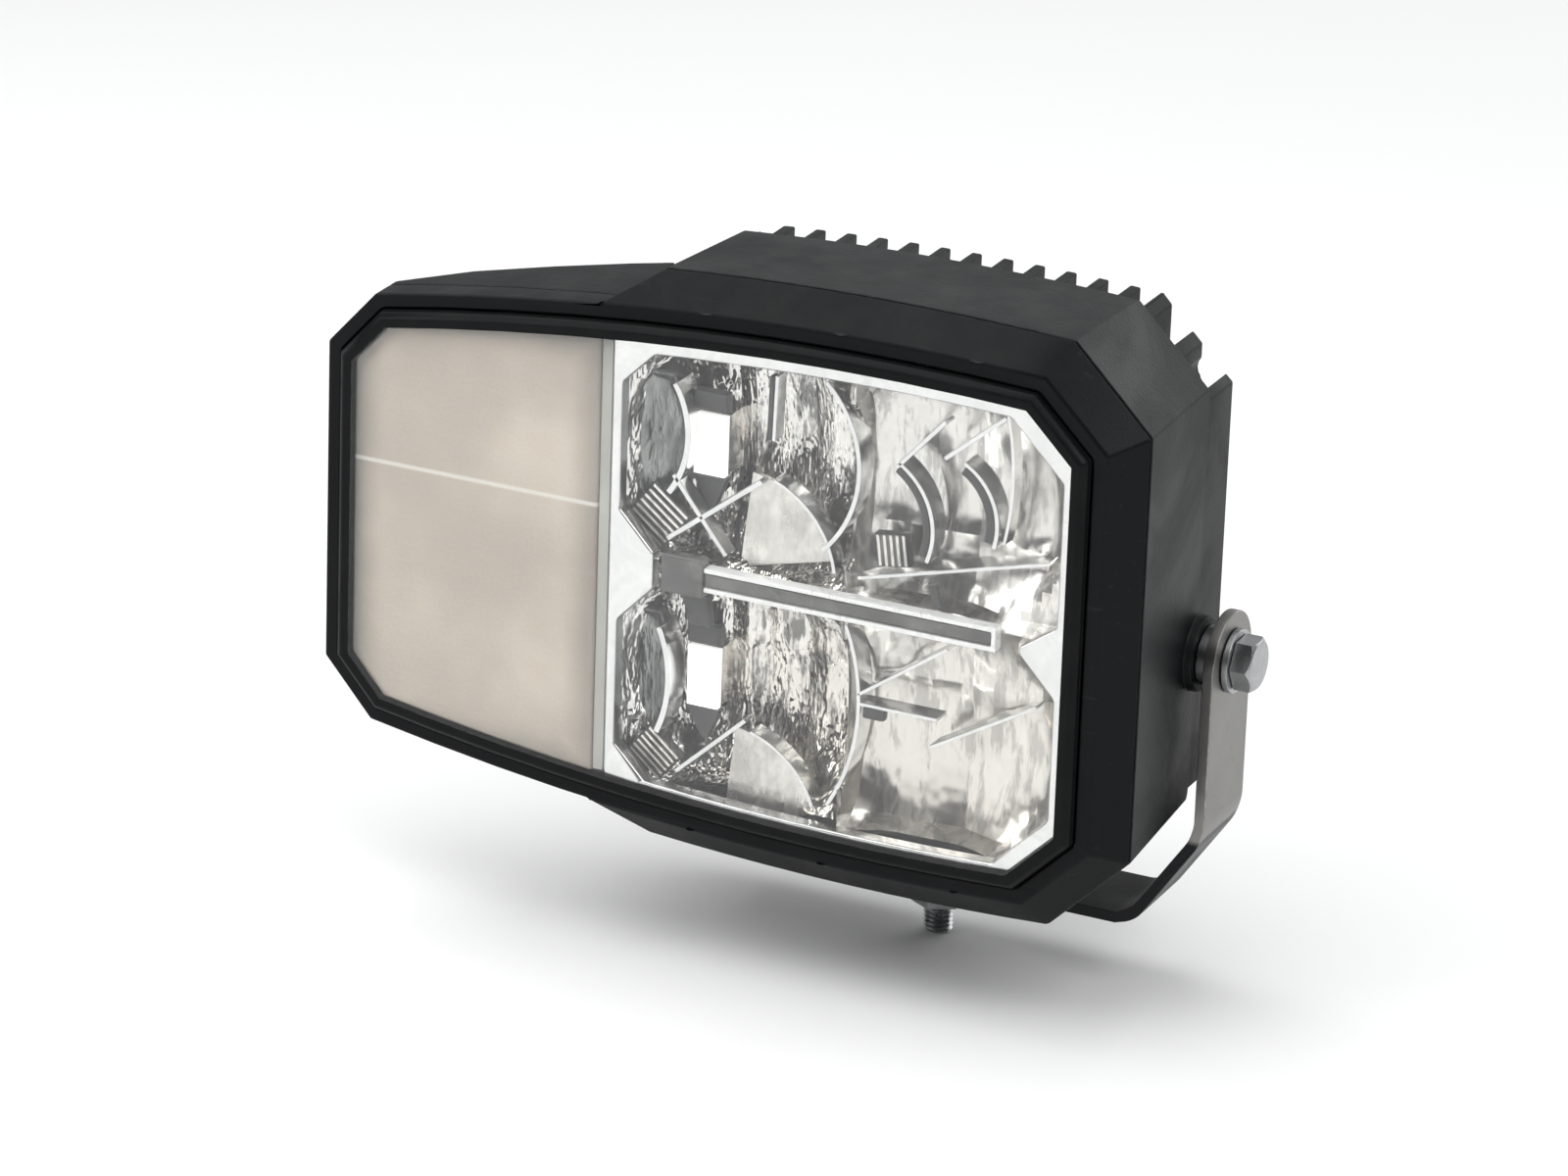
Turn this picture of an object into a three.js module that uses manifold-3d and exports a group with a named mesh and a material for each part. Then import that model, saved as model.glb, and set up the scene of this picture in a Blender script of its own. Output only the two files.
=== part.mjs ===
// Combination headlamp for a work vehicle: a square lamp head with a shallow indicator wing on
// its left, hung in a U bracket that tilts about two side bolts and swivels on one foot bolt.
// Millimetres. +Z is up, the lens faces -Y, +X is to the right of someone looking at the lens.
// The origin is on the foot bolt's axis, in the plane that the foot pad stands on.
import * as THREE from "three";
import { mergeVertices } from "three/addons/utils/BufferGeometryUtils.js";
import Module from "manifold-3d";

const wasm = await Module();
wasm.setup();

// ---------- driving dimensions ----------
const GAP = 0.3; // between pieces that touch
const HOLE_GAP = 0.4; // a bolt's shank to its hole, on the radius
const OVERRUN = 1; // how far a cutting tool runs past the face it cuts
const FAR = 200; // further than any part of the lamp reaches

const RIM_RIGHT = 67; // right edge of the front rim, from the head's centre line
const RIM_LEFT = -153; // left edge, at the end of the wing
const RIM_HALF_H = 72.6; // half height of the rim where it is tallest
const CROWN_X = 5; // where it is tallest
const CROWN_R = 800; // radius of its long top and bottom edges
const CORNER_RIGHT = { across: 17.7, down: 17.5 };
const CORNER_LEFT = { across: 13.7, down: 15.5 };
const CROWN_STEPS = 10; // straight steps along each long edge

const BEVEL = 8.4; // how far the head stands out past the rim, and how deep that bevel is
const HEAD_CORNER = { across: 15.4, down: 12.8 }; // the head's left corners, above the wing
const HEAD_DEPTH = 52; // rim front to the end of the side walls
const HEAD_DRAFT = 2.7; // how much smaller the head is at the back, on each side
const WALL = 3.5;
const WING_WALL = 2.6;
const BACK_WALL = 4;
const WIRE_NOTCH = { z: 22, high: 16, deep: 3 }; // in the wall between the head and the wing
const FLANGE_DEPTH = 4.4; // front flange of the housing
const FLANGE_INSET = 5; // edge of the flange's opening, inside the rim's outline

const FIN_THICK = 3;
const FIN_PITCH = 8.9;
const FIN_SIDE_COUNT = 8; // fins on each side of the middle one
const FIN_LENGTH = 16;
const FIN_DROP = 3; // fin ends stand this much lower than the head's top and bottom
const FIN_ROOT = 1; // how far a fin goes into the back wall

const LIP_WIDTH = 4; // bezel lip in front of the lens flange
const LIP_THICK = 2;
const BEZEL_WALL = 1.8;
const LENS_PROUD = 3; // lens face in front of the rim
const LENS_THICK = 3;
const LENS_SKIRT = 3; // wall of the lens's turned-back edge
const LENS_FLANGE = 3;
const LENS_EDGE = 1.5; // chamfer round the lens face
const GASKET_THICK = 2.6;

const PIVOT_BELOW = 15.5; // tilt axis below the head's middle
const BOLT_D = 8; // M8 throughout
const BOLT_HEX = 13; // across flats
const BOLT_HEAD = 5.3;
const BOSS_D = 20;
const BOSS_PROUD = 3;
const BOSS_DEPTH = 16; // length of each boss inside the head
const SPACER_D = 16;
const SPACER_THICK = 3.7;
const WASHER_D = 17;
const WASHER_THICK = 1.6;

const STRIP_WIDTH = 26;
const STRIP_THICK = 3;
const FOOT_PAD = { length: 46, width: 24, thick: 1.7 };
const FOOT_CLEAR = 5.5; // bracket base to the underside of the head
const FOOT_BEND_IN = 19; // the slanted corner's run across the foot
const FOOT_BEND_UP = 28.1; // and its rise to the upright arm
const FOOT_OFFSET = 4; // foot bolt to the right of the head's centre line
const STUD_BELOW = 17; // foot bolt past the foot pad
const STUD_CHAMFER = 1;
const BUTTON_D = 14;
const BUTTON_HEAD = 4.4;
const BUTTON_DOME = { rim: 1, shoulder: 0.8, shoulderDown: 1.2, flat: 0.45 }; // radii as shares of its own
const BUTTON_SOCKET = { flats: 4, deep: 2.9 };
const NUT_THICK = 6.5;

const TRIM_LEFT = -70; // left edge of the bright frame
const TRIM_INSET = 8.4; // its other edges, inside the rim's outline
const TRIM_FACE = 2.8; // width of its front face
const TRIM_DEPTH = 4.6;
const TRIM_CUT = { right: 15, left: 9 }; // its inner corners, cut at about 45 degrees
const INSERT_DROP = 1; // middle of the window and of the light bar below the head's middle
const WEDGE_RIGHT = { reach: 10, top: 7, tipTop: -1, tipBottom: -3, bottom: -15 };
const WEDGE_LEFT = { reach: 10, top: 16, tipTop: 4, tipBottom: -6, bottom: -18 };

const SPLIT_X = -5; // between the left and the right reflectors
const REFLECTOR_DEPTH = 24;
const REFLECTOR_WALL = 1.6;
const BOARD_THICK = 1.6;
const SPREADER_THICK = 5;
const DRIVER_BACK = 6; // driver board to the back wall
const DRIVER_HALF = { x: 46, z: 40 };
const STANDOFF_D = 7;
const CHOKE = { x: 12, z: 6, d: 14, high: 3 };
const LED = { wide: 8, high: 16, deep: 6, across: 18 }; // across: from its quarter's left edge

const BAR_RIGHT = 39;
const BAR_LEFT = -43;
const BAR_CORE = 4; // height of the light guide's face
const BAR_RAIL = 1.3;
const BAR_DEPTH = 3.8;
const BLOCK_WIDE = 12;
const BLOCK_HIGH = 10.5;

const PANEL_RIGHT = -73.5; // right edge of the indicator panel
const PANEL_THICK = 2;
const TRAY_DEPTH = 5;
const TRAY_WALL = 1.2;
// across and up: from the indicator panel's sides and the rim's ends to the nearest chips
const CHIP = { columns: 4, rows: 3, side: 3.5, thick: 0.8, across: 13.05, up: 42.6 };

const WING_KNEE = { x: -122, depth: 21 }; // where the wing's back bends, and how deep it is there
const WING_END = { x: -140, depth: 11 };
const WING_ROOT_DEPTH = 38; // depth of the wing where it meets the head
const ARM_RELIEF = { width: 15, above: 17, floor: 4.9 }; // pocket behind the wing for the left arm

const INLET = { x: -105, wide: 24, high: 32, flange: 2.5, body: 14, wall: 1.8, gasket: 1 };
const INLET_PIN = { columns: 3, rows: 2, side: 1.5, pitch: 5, length: 8 };
const INLET_SCREW = { d: 3, head: 5.4, length: 7, out: 2 };
const INLET_BOSS_BACK = 16; // the inlet's seat, ahead of the tilt axis
const VENT = { x: -104, z: 34, d: 11, thick: 4, boss: 15, back: 20, stem: 5 };

const CASE_SCREW_D = 4;
const CASE_SCREW_HEAD = { d: 7, thick: 3 };
const CASE_SCREW_BITE = 3.4; // thread inside the bezel
const CASE_PILLAR_D = 11;
// Case screws stand in the gaps between fins, at the head's corners. down: from the rim's top edge.
const CASE_SCREW_RIGHT = { gap: 7.5, down: 16.6 };
const CASE_SCREW_LEFT = { gap: -6.5, down: 2.6 };

// ---------- places worked out from them ----------
const rimY = -HEAD_DEPTH; // the rim's front plane; the tilt axis is at Y = 0
const partingY = rimY + BEVEL; // bezel and housing meet here
const housingY = partingY + GAP;
const headHalfW = RIM_RIGHT + BEVEL;
const footTop = FOOT_PAD.thick + GAP + STRIP_THICK; // upper face of the bracket's base
const headZ = footTop + FOOT_CLEAR + RIM_HALF_H + BEVEL; // the head's middle
const pivotZ = headZ - PIVOT_BELOW;
const lensY = rimY - LENS_PROUD;
const lensBackY = lensY + LENS_THICK;
const lipBackY = rimY + LIP_THICK;
const flangeBackY = lipBackY + GAP + LENS_FLANGE;
const trimY = lensBackY + GAP;
const trimBackY = trimY + TRIM_DEPTH;
const reflectorY = trimBackY + GAP;
const reflectorBackY = reflectorY + REFLECTOR_DEPTH;
const boardY = reflectorBackY + GAP;
const spreaderY = boardY + BOARD_THICK + GAP;
const spreaderBackY = spreaderY + SPREADER_THICK;
const cavityBackY = -BACK_WALL;
const driverY = cavityBackY - DRIVER_BACK - BOARD_THICK;
const bossEndX = headHalfW - HEAD_DRAFT + BOSS_PROUD;
const armInnerX = bossEndX + GAP + SPACER_THICK + GAP;
const armOuterX = armInnerX + STRIP_THICK;
const insertZ = headZ - INSERT_DROP;
const caseScrews = [CASE_SCREW_RIGHT, CASE_SCREW_LEFT].flatMap(({ gap, down }) => [
  { x: gap * FIN_PITCH, z: RIM_HALF_H - down },
  { x: gap * FIN_PITCH, z: down - RIM_HALF_H },
]);

const inletGasketY = -INLET_BOSS_BACK + GAP;
const inletY = inletGasketY + INLET.gasket + GAP;
const inletHalfX = INLET.wide / 2 - INLET.wall;
const inletScrewZ = INLET.high / 2 - INLET_SCREW.head / 2 - 1;
const inletHalfZ = inletScrewZ - INLET_SCREW.head / 2 - GAP;
const inletHole = INLET_SCREW.d + 2 * HOLE_GAP;

// ---------- solids: three.js geometry in, three.js geometry out ----------
function solid(geometry) {
  const bare = geometry.clone().deleteAttribute("normal").deleteAttribute("uv");
  const merged = mergeVertices(bare, 1e-4);
  return new wasm.Manifold(
    new wasm.Mesh({
      numProp: 3,
      vertProperties: merged.attributes.position.array,
      triVerts: new Uint32Array(merged.index.array),
    }),
  );
}

function geometryOf(made) {
  const mesh = made.getMesh();
  const geometry = new THREE.BufferGeometry();
  geometry.setAttribute("position", new THREE.BufferAttribute(mesh.vertProperties, 3));
  geometry.setIndex(new THREE.BufferAttribute(mesh.triVerts, 1));
  geometry.computeVertexNormals();
  return geometry;
}

// A slab with the same outline from front to back; an outline is [x, z] points, counter-clockwise.
function slab(points, frontY, backY) {
  const shape = new THREE.Shape(points.map(([x, z]) => new THREE.Vector2(x, z)));
  const extruded = new THREE.ExtrudeGeometry(shape, { depth: backY - frontY, bevelEnabled: false });
  return solid(extruded.rotateX(Math.PI / 2).translate(0, backY, headZ));
}

// A solid between two outlines with matching points.
function loft(front, frontY, back, backY) {
  const count = front.length;
  const positions = [];
  for (const [x, z] of front) positions.push(x, frontY, z + headZ);
  for (const [x, z] of back) positions.push(x, backY, z + headZ);
  const index = [];
  for (let i = 0; i < count; i++) {
    const j = (i + 1) % count;
    index.push(i, count + i, count + j, i, count + j, j);
  }
  const capOf = (points) =>
    THREE.ShapeUtils.triangulateShape(points.map(([x, z]) => new THREE.Vector2(x, z)), []);
  for (const [a, b, c] of capOf(front)) index.push(a, b, c);
  for (const [a, b, c] of capOf(back)) index.push(count + a, count + c, count + b);
  const geometry = new THREE.BufferGeometry();
  geometry.setAttribute("position", new THREE.BufferAttribute(new Float32Array(positions), 3));
  geometry.setIndex(index);
  return solid(geometry);
}

function box(x0, x1, y0, y1, z0, z1) {
  const made = new THREE.BoxGeometry(x1 - x0, y1 - y0, z1 - z0);
  return solid(made.translate((x0 + x1) / 2, (y0 + y1) / 2, (z0 + z1) / 2));
}

// A rod along an axis, from one coordinate to the other, with its centre at the other two.
function rod(axis, from, to, a, b, diameter, sides = 24) {
  const made = new THREE.CylinderGeometry(diameter / 2, diameter / 2, to - from, sides);
  const middle = (from + to) / 2;
  if (axis === "x") return solid(made.rotateZ(Math.PI / 2).translate(middle, a, b));
  if (axis === "y") return solid(made.translate(a, middle, b));
  return solid(made.rotateX(Math.PI / 2).translate(a, b, middle));
}

// A hexagonal prism along an axis, measured across its flats.
function hex(axis, from, to, a, b, flats) {
  return rod(axis, from, to, a, b, flats / Math.cos(Math.PI / 6), 6);
}

// The inlet's flange with its two screw holes, and the window inside its shroud.
function inletFlange(frontY, backY) {
  const x = INLET.wide / 2;
  const z = INLET.high / 2;
  let made = box(INLET.x - x, INLET.x + x, frontY, backY, headZ - z, headZ + z);
  for (const side of [-1, 1]) {
    const screwZ = headZ + side * inletScrewZ;
    made = made.subtract(rod("y", frontY - OVERRUN, backY + OVERRUN, INLET.x, screwZ, inletHole, 12));
  }
  return made;
}

function inletWindow(frontY, backY) {
  const x = inletHalfX - INLET.wall;
  const z = inletHalfZ - INLET.wall;
  return box(INLET.x - x, INLET.x + x, frontY, backY, headZ - z, headZ + z);
}

// ---------- outlines ----------
const crown = (x, grow = 0) => RIM_HALF_H + grow - (x - CROWN_X) ** 2 / (2 * (CROWN_R + grow));

// Closes an upper half, given from right to left, with its mirror image below.
function mirrored(upper) {
  const lower = upper.map(([x, z]) => [x, -z]).reverse();
  return [...lower, ...upper];
}

function crownPoints(right, left, grow = 0) {
  const points = [];
  for (let i = 0; i <= CROWN_STEPS; i++) {
    const x = right + ((left - right) * i) / CROWN_STEPS;
    points.push([x, crown(x, grow)]);
  }
  return points;
}

// Moves every edge of an outline outwards by grow, or inwards when it is negative.
function offset(points, grow) {
  const edges = points.map(([x0, z0], i) => {
    const [x1, z1] = points[(i + 1) % points.length];
    const length = Math.hypot(x1 - x0, z1 - z0);
    const nx = (z1 - z0) / length;
    const nz = (x0 - x1) / length;
    return { nx, nz, reach: nx * x0 + nz * z0 + grow };
  });
  return edges.map((after, i) => {
    const before = edges[(i + edges.length - 1) % edges.length];
    const cross = before.nx * after.nz - before.nz * after.nx;
    return [
      (before.reach * after.nz - after.reach * before.nz) / cross,
      (after.reach * before.nx - before.reach * after.nx) / cross,
    ];
  });
}

function rimOutline() {
  const right = RIM_RIGHT - CORNER_RIGHT.across;
  const left = RIM_LEFT + CORNER_LEFT.across;
  return mirrored([
    [RIM_RIGHT, crown(right) - CORNER_RIGHT.down],
    ...crownPoints(right, left),
    [RIM_LEFT, crown(left) - CORNER_LEFT.down],
  ]);
}

// The lamp head where its bevel ends.
function headOutline() {
  const right = RIM_RIGHT - CORNER_RIGHT.across + BEVEL / 2;
  const left = -headHalfW + HEAD_CORNER.across;
  return mirrored([
    [headHalfW, crown(right, BEVEL) - (headHalfW - right)],
    ...crownPoints(right, left, BEVEL),
    [-headHalfW, crown(left, BEVEL) - HEAD_CORNER.down],
  ]);
}

// The start of that bevel, on the rim's front plane: point for point with headOutline.
function headFrontOutline() {
  const right = RIM_RIGHT - CORNER_RIGHT.across;
  const left = -headHalfW + GAP;
  return mirrored([
    [RIM_RIGHT, crown(right) - CORNER_RIGHT.down],
    ...crownPoints(right, left + GAP),
    [left, crown(left) - GAP],
  ]);
}

const rim = rimOutline();
const head = headOutline();
const headBack = offset(head, -HEAD_DRAFT);

// The part of an outline's slab between two X planes.
const between = (made, left, right) =>
  made.intersect(box(left, right, -FAR, FAR, headZ - FAR, headZ + FAR));

// ---------- the lamp's shell ----------
function makeBezel() {
  let made = slab(rim, rimY, partingY);
  made = made.add(loft(headFrontOutline(), rimY, head, partingY));
  made = made.subtract(slab(offset(rim, -LIP_WIDTH), rimY - OVERRUN, lipBackY));
  made = made.subtract(slab(offset(rim, -BEZEL_WALL), lipBackY, partingY + OVERRUN));
  for (const screw of caseScrews) {
    const bottom = partingY - CASE_SCREW_BITE - GAP;
    const hole = CASE_SCREW_D + 2 * HOLE_GAP;
    made = made.subtract(rod("y", bottom, partingY + OVERRUN, screw.x, headZ + screw.z, hole, 16));
  }
  return made;
}

// Side profile of the wing's back, as a prism through the whole height.
function wingBlock(shrink) {
  const root = headHalfW - WALL;
  const points = [
    [-root, housingY - OVERRUN],
    [RIM_LEFT - OVERRUN, housingY - OVERRUN],
    [RIM_LEFT - OVERRUN, rimY + WING_END.depth - shrink],
    [WING_END.x, rimY + WING_END.depth - shrink],
    [WING_KNEE.x, rimY + WING_KNEE.depth - shrink],
    [-root, rimY + WING_ROOT_DEPTH - shrink],
  ];
  const shape = new THREE.Shape(points.map(([x, y]) => new THREE.Vector2(x, y)));
  const height = 4 * RIM_HALF_H;
  const extruded = new THREE.ExtrudeGeometry(shape, { depth: height, bevelEnabled: false });
  return solid(extruded.translate(0, 0, headZ - height / 2));
}

function makeWing() {
  const depth = rimY + WING_ROOT_DEPTH + OVERRUN;
  const made = slab(rim, housingY, depth).intersect(wingBlock(0));
  // The left arm's pocket runs on under the head's cut corner, so that the lamp can tilt forward.
  const floor = housingY + ARM_RELIEF.floor;
  const reliefLeft = -headHalfW - ARM_RELIEF.width;
  return made.subtract(box(reliefLeft, 0, floor, FAR, -FAR, pivotZ + ARM_RELIEF.above));
}

function makeWingHollow() {
  const outline = offset(rim, -FLANGE_INSET);
  const hollow = slab(outline, housingY - OVERRUN, rimY + WING_ROOT_DEPTH).intersect(wingBlock(WING_WALL));
  const pocketX = -headHalfW - ARM_RELIEF.width - WING_WALL;
  const above = pivotZ + ARM_RELIEF.above + WING_WALL;
  const outer = between(hollow, RIM_LEFT, pocketX);
  const upper = between(hollow, pocketX - OVERRUN, -headHalfW - OVERRUN);
  return outer.add(upper.intersect(box(RIM_LEFT, 0, -FAR, FAR, above, headZ + FAR)));
}

function makeFins() {
  const profile = slab(headBack, -FIN_ROOT, FIN_LENGTH);
  const blank = profile
    .intersect(profile.translate([0, 0, -FIN_DROP]))
    .intersect(profile.translate([0, 0, FIN_DROP]));
  let plates = null;
  for (let i = -FIN_SIDE_COUNT; i <= FIN_SIDE_COUNT; i++) {
    const left = i * FIN_PITCH - FIN_THICK / 2;
    const back = FIN_LENGTH + OVERRUN;
    const plate = box(left, left + FIN_THICK, -2 * FIN_ROOT, back, headZ - FAR, headZ + FAR);
    plates = plates ? plates.add(plate) : plate;
  }
  return plates.intersect(blank);
}

function makeHousing() {
  let made = loft(head, housingY, headBack, 0).add(makeWing()).add(makeFins());
  const inner = loft(offset(head, -WALL), housingY, offset(headBack, -WALL), 0);
  const room = inner.intersect(box(-FAR, FAR, housingY + FLANGE_DEPTH, cavityBackY, -FAR, headZ + FAR));
  made = made.subtract(room).subtract(makeWingHollow());
  const opening = slab(offset(rim, -FLANGE_INSET), housingY - OVERRUN, housingY + FLANGE_DEPTH + OVERRUN);
  made = made.subtract(between(opening, -headHalfW + WALL, RIM_RIGHT));

  // Tilt bosses, case screw pillars, and the seats of the inlet and the vent.
  for (const side of [-1, 1]) {
    const ends = [side * (bossEndX - BOSS_PROUD - BOSS_DEPTH), side * bossEndX].sort((a, b) => a - b);
    made = made.add(rod("x", ends[0], ends[1], 0, pivotZ, BOSS_D));
  }
  for (const screw of caseScrews) {
    const front = housingY + FLANGE_DEPTH - OVERRUN;
    const pillar = rod("y", front, -FIN_ROOT, screw.x, headZ + screw.z, CASE_PILLAR_D);
    made = made.add(pillar.intersect(loft(head, housingY, headBack, 0)));
  }
  const seatX = INLET.wide / 2 + 1;
  const seatZ = INLET.high / 2 + 1;
  const seatFront = rimY + WING_KNEE.depth;
  made = made.add(
    box(INLET.x - seatX, INLET.x + seatX, seatFront, -INLET_BOSS_BACK, headZ - seatZ, headZ + seatZ),
  );
  made = made.add(rod("y", seatFront, -VENT.back, VENT.x, headZ + VENT.z, VENT.boss));

  // Everything that is drilled.
  for (const side of [-1, 1]) {
    const ends = [side * (bossEndX - BOSS_DEPTH), side * (bossEndX + OVERRUN)].sort((a, b) => a - b);
    made = made.subtract(rod("x", ends[0], ends[1], 0, pivotZ, BOLT_D + 2 * HOLE_GAP));
  }
  for (const screw of caseScrews) {
    const z = headZ + screw.z;
    const hole = CASE_SCREW_D + 2 * HOLE_GAP;
    made = made.subtract(rod("y", housingY - OVERRUN, OVERRUN, screw.x, z, hole, 16));
    const seat = CASE_SCREW_HEAD.d + 2 * HOLE_GAP;
    made = made.subtract(rod("y", -CASE_SCREW_HEAD.thick, FIN_LENGTH + OVERRUN, screw.x, z, seat, 16));
  }
  made = made.subtract(inletWindow(seatFront - WING_WALL - OVERRUN, OVERRUN));
  for (const side of [-1, 1]) {
    const z = headZ + side * inletScrewZ;
    made = made.subtract(rod("y", -INLET_BOSS_BACK - INLET_SCREW.length, 0, INLET.x, z, inletHole, 12));
  }
  const ventBottom = seatFront - WING_WALL - OVERRUN;
  made = made.subtract(rod("y", ventBottom, 0, VENT.x, headZ + VENT.z, VENT.d / 2, 16));
  const [wireX, wireZ] = [-headHalfW + WALL / 2, headZ + WIRE_NOTCH.z];
  const [acrossWall, half] = [WALL / 2 + OVERRUN, WIRE_NOTCH.high / 2];
  const notchBack = housingY + WIRE_NOTCH.deep;
  return made.subtract(
    box(wireX - acrossWall, wireX + acrossWall, housingY - OVERRUN, notchBack, wireZ - half, wireZ + half),
  );
}

function makeLens() {
  const face = offset(rim, -LIP_WIDTH - HOLE_GAP);
  const flange = offset(rim, -BEZEL_WALL - HOLE_GAP);
  let made = loft(offset(face, -LENS_EDGE), lensY, face, lensY + LENS_EDGE);
  made = made.add(slab(face, lensY + LENS_EDGE, flangeBackY));
  made = made.add(slab(flange, flangeBackY - LENS_FLANGE, flangeBackY));
  return made.subtract(slab(offset(face, -LENS_SKIRT), lensBackY, flangeBackY + OVERRUN));
}

function makeGasket() {
  const front = flangeBackY + GAP;
  const made = slab(offset(rim, -BEZEL_WALL - HOLE_GAP), front, front + GASKET_THICK);
  return made.subtract(slab(offset(rim, -FLANGE_INSET), front - OVERRUN, front + GASKET_THICK + OVERRUN));
}

// ---------- the headlamp insert ----------
const insertOutline = offset(rim, -TRIM_INSET);
const insertRight = RIM_RIGHT - TRIM_INSET;

// The bright frame's window, with cut corners.
function trimWindow() {
  const right = insertRight - TRIM_FACE;
  const left = TRIM_LEFT + TRIM_FACE;
  const topRight = right - TRIM_CUT.right;
  const topLeft = left + TRIM_CUT.left;
  const grow = -TRIM_INSET - TRIM_FACE;
  const upper = [
    [right, crown(topRight, grow) - TRIM_CUT.right],
    ...crownPoints(topRight, topLeft, grow),
    [left, crown(topLeft, grow) - TRIM_CUT.left],
  ];
  return mirrored(upper).map(([x, z]) => [x, z - INSERT_DROP]);
}

// A wedge that points into the window from its right side, or from its left one.
function trimWedge(wedge, side) {
  const edge = side > 0 ? insertRight - TRIM_FACE / 2 : TRIM_LEFT + TRIM_FACE / 2;
  const tip = edge - side * (wedge.reach + TRIM_FACE / 2);
  const points = [
    [edge, wedge.bottom],
    [edge, wedge.top],
    [tip, wedge.tipTop],
    [tip, wedge.tipBottom],
  ];
  return slab(side > 0 ? points : points.reverse(), trimY, trimBackY);
}

function insertSlab(frontY, backY) {
  return between(slab(insertOutline, frontY, backY), TRIM_LEFT, RIM_RIGHT);
}

function makeTrim() {
  const window = slab(trimWindow(), trimY - OVERRUN, trimBackY + OVERRUN);
  const made = insertSlab(trimY, trimBackY).subtract(window);
  return made.add(trimWedge(WEDGE_RIGHT, 1)).add(trimWedge(WEDGE_LEFT, -1));
}

// One quarter of the optics: a block with a bowl in front, and a seat for its light source.
function makeReflector(sideX, sideZ) {
  const inner = SPLIT_X + (sideX * GAP) / 2;
  const outer = sideX > 0 ? RIM_RIGHT : TRIM_LEFT;
  const x0 = Math.min(inner, outer);
  const x1 = Math.max(inner, outer);
  const z0 = sideZ > 0 ? headZ + GAP / 2 : headZ - FAR;
  const z1 = sideZ > 0 ? headZ + FAR : headZ - GAP / 2;
  let made = insertSlab(reflectorY, reflectorBackY).intersect(box(x0, x1, -FAR, FAR, z0, z1));
  const end = sideX > 0 ? insertRight : TRIM_LEFT;
  const halfX = Math.abs(end - SPLIT_X) / 2 - REFLECTOR_WALL;
  const halfZ = (RIM_HALF_H - TRIM_INSET) / 2 - REFLECTOR_WALL;
  const bowl = new THREE.SphereGeometry(1, 20, 12).rotateX(Math.PI / 2);
  bowl.scale(halfX, REFLECTOR_DEPTH - REFLECTOR_WALL, halfZ);
  bowl.translate((SPLIT_X + end) / 2, reflectorY - OVERRUN, headZ + sideZ * (halfZ + REFLECTOR_WALL));
  made = made.subtract(solid(bowl));
  const seat = ledPlace(sideX, sideZ);
  const wide = LED.wide / 2 + HOLE_GAP;
  const high = LED.high / 2 + HOLE_GAP;
  return made.subtract(
    box(seat.x - wide, seat.x + wide, -FAR, FAR, seat.z - high, seat.z + high),
  );
}

function ledPlace(sideX, sideZ) {
  const left = sideX > 0 ? SPLIT_X : TRIM_LEFT;
  return { x: left + LED.across, z: headZ + (sideZ * (RIM_HALF_H - TRIM_INSET)) / 2 };
}

function makeLed(sideX, sideZ) {
  const seat = ledPlace(sideX, sideZ);
  const back = boardY - GAP;
  const wide = LED.wide / 2;
  const high = LED.high / 2;
  return box(seat.x - wide, seat.x + wide, back - LED.deep, back, seat.z - high, seat.z + high);
}

function makeLedBoard() {
  return insertSlab(boardY, boardY + BOARD_THICK);
}

function makeSpreader() {
  return insertSlab(spreaderY, spreaderBackY);
}

const standoffX = DRIVER_HALF.x - STANDOFF_D;
const standoffZ = DRIVER_HALF.z - STANDOFF_D;

function makeDriver() {
  const { x: halfX, z: halfZ } = DRIVER_HALF;
  let made = box(-halfX, halfX, driverY, driverY + BOARD_THICK, headZ - halfZ, headZ + halfZ);
  const hole = STANDOFF_D + 2 * HOLE_GAP;
  for (const x of [-standoffX, standoffX])
    for (const z of [-standoffZ, standoffZ])
      made = made.subtract(rod("y", driverY - OVERRUN, 0, x, headZ + z, hole, 16));
  // A choke and a power chip stand on its front.
  const inBoard = driverY + BOARD_THICK / 2;
  made = made.add(rod("y", driverY - CHOKE.high, inBoard, CHOKE.x, headZ + CHOKE.z, CHOKE.d, 16));
  const left = -CHOKE.x - CHOKE.d;
  return made.add(box(left, left + CHOKE.d, driverY - CHOKE.high / 2, inBoard, headZ - CHOKE.d, headZ));
}

function makeStandoff(x, z) {
  return rod("y", spreaderBackY + GAP, cavityBackY - GAP, x, headZ + z, STANDOFF_D, 16);
}

// ---------- the light bar across the middle ----------
const barBackY = trimBackY;
const barY = barBackY - BAR_DEPTH;

function makeBarChannel() {
  const half = BAR_CORE / 2 + BAR_RAIL;
  const made = box(BAR_LEFT, BAR_RIGHT, barY, barBackY, insertZ - half, insertZ + half);
  const slot = BAR_CORE / 2;
  const right = BAR_RIGHT - BAR_RAIL;
  const floor = barBackY - BAR_RAIL;
  return made.subtract(
    box(BAR_LEFT - OVERRUN, right, barY - OVERRUN, floor, insertZ - slot, insertZ + slot),
  );
}

function makeLightGuide() {
  const half = BAR_CORE / 2 - GAP;
  const right = BAR_RIGHT - BAR_RAIL - GAP;
  const back = barBackY - BAR_RAIL - GAP;
  return box(BAR_LEFT + GAP, right, barY + GAP, back, insertZ - half, insertZ + half);
}

function makeBarBlock() {
  const right = BAR_LEFT - GAP;
  const half = BLOCK_HIGH / 2;
  return box(right - BLOCK_WIDE, right, barY, barBackY, insertZ - half, insertZ + half);
}

// ---------- the indicator in the wing ----------
const panelY = lensBackY + GAP;
const trayY = panelY + PANEL_THICK + GAP;
const indicatorSlab = (inset, frontY, backY) =>
  between(slab(offset(insertOutline, -inset), frontY, backY), RIM_LEFT, PANEL_RIGHT - inset);

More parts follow.
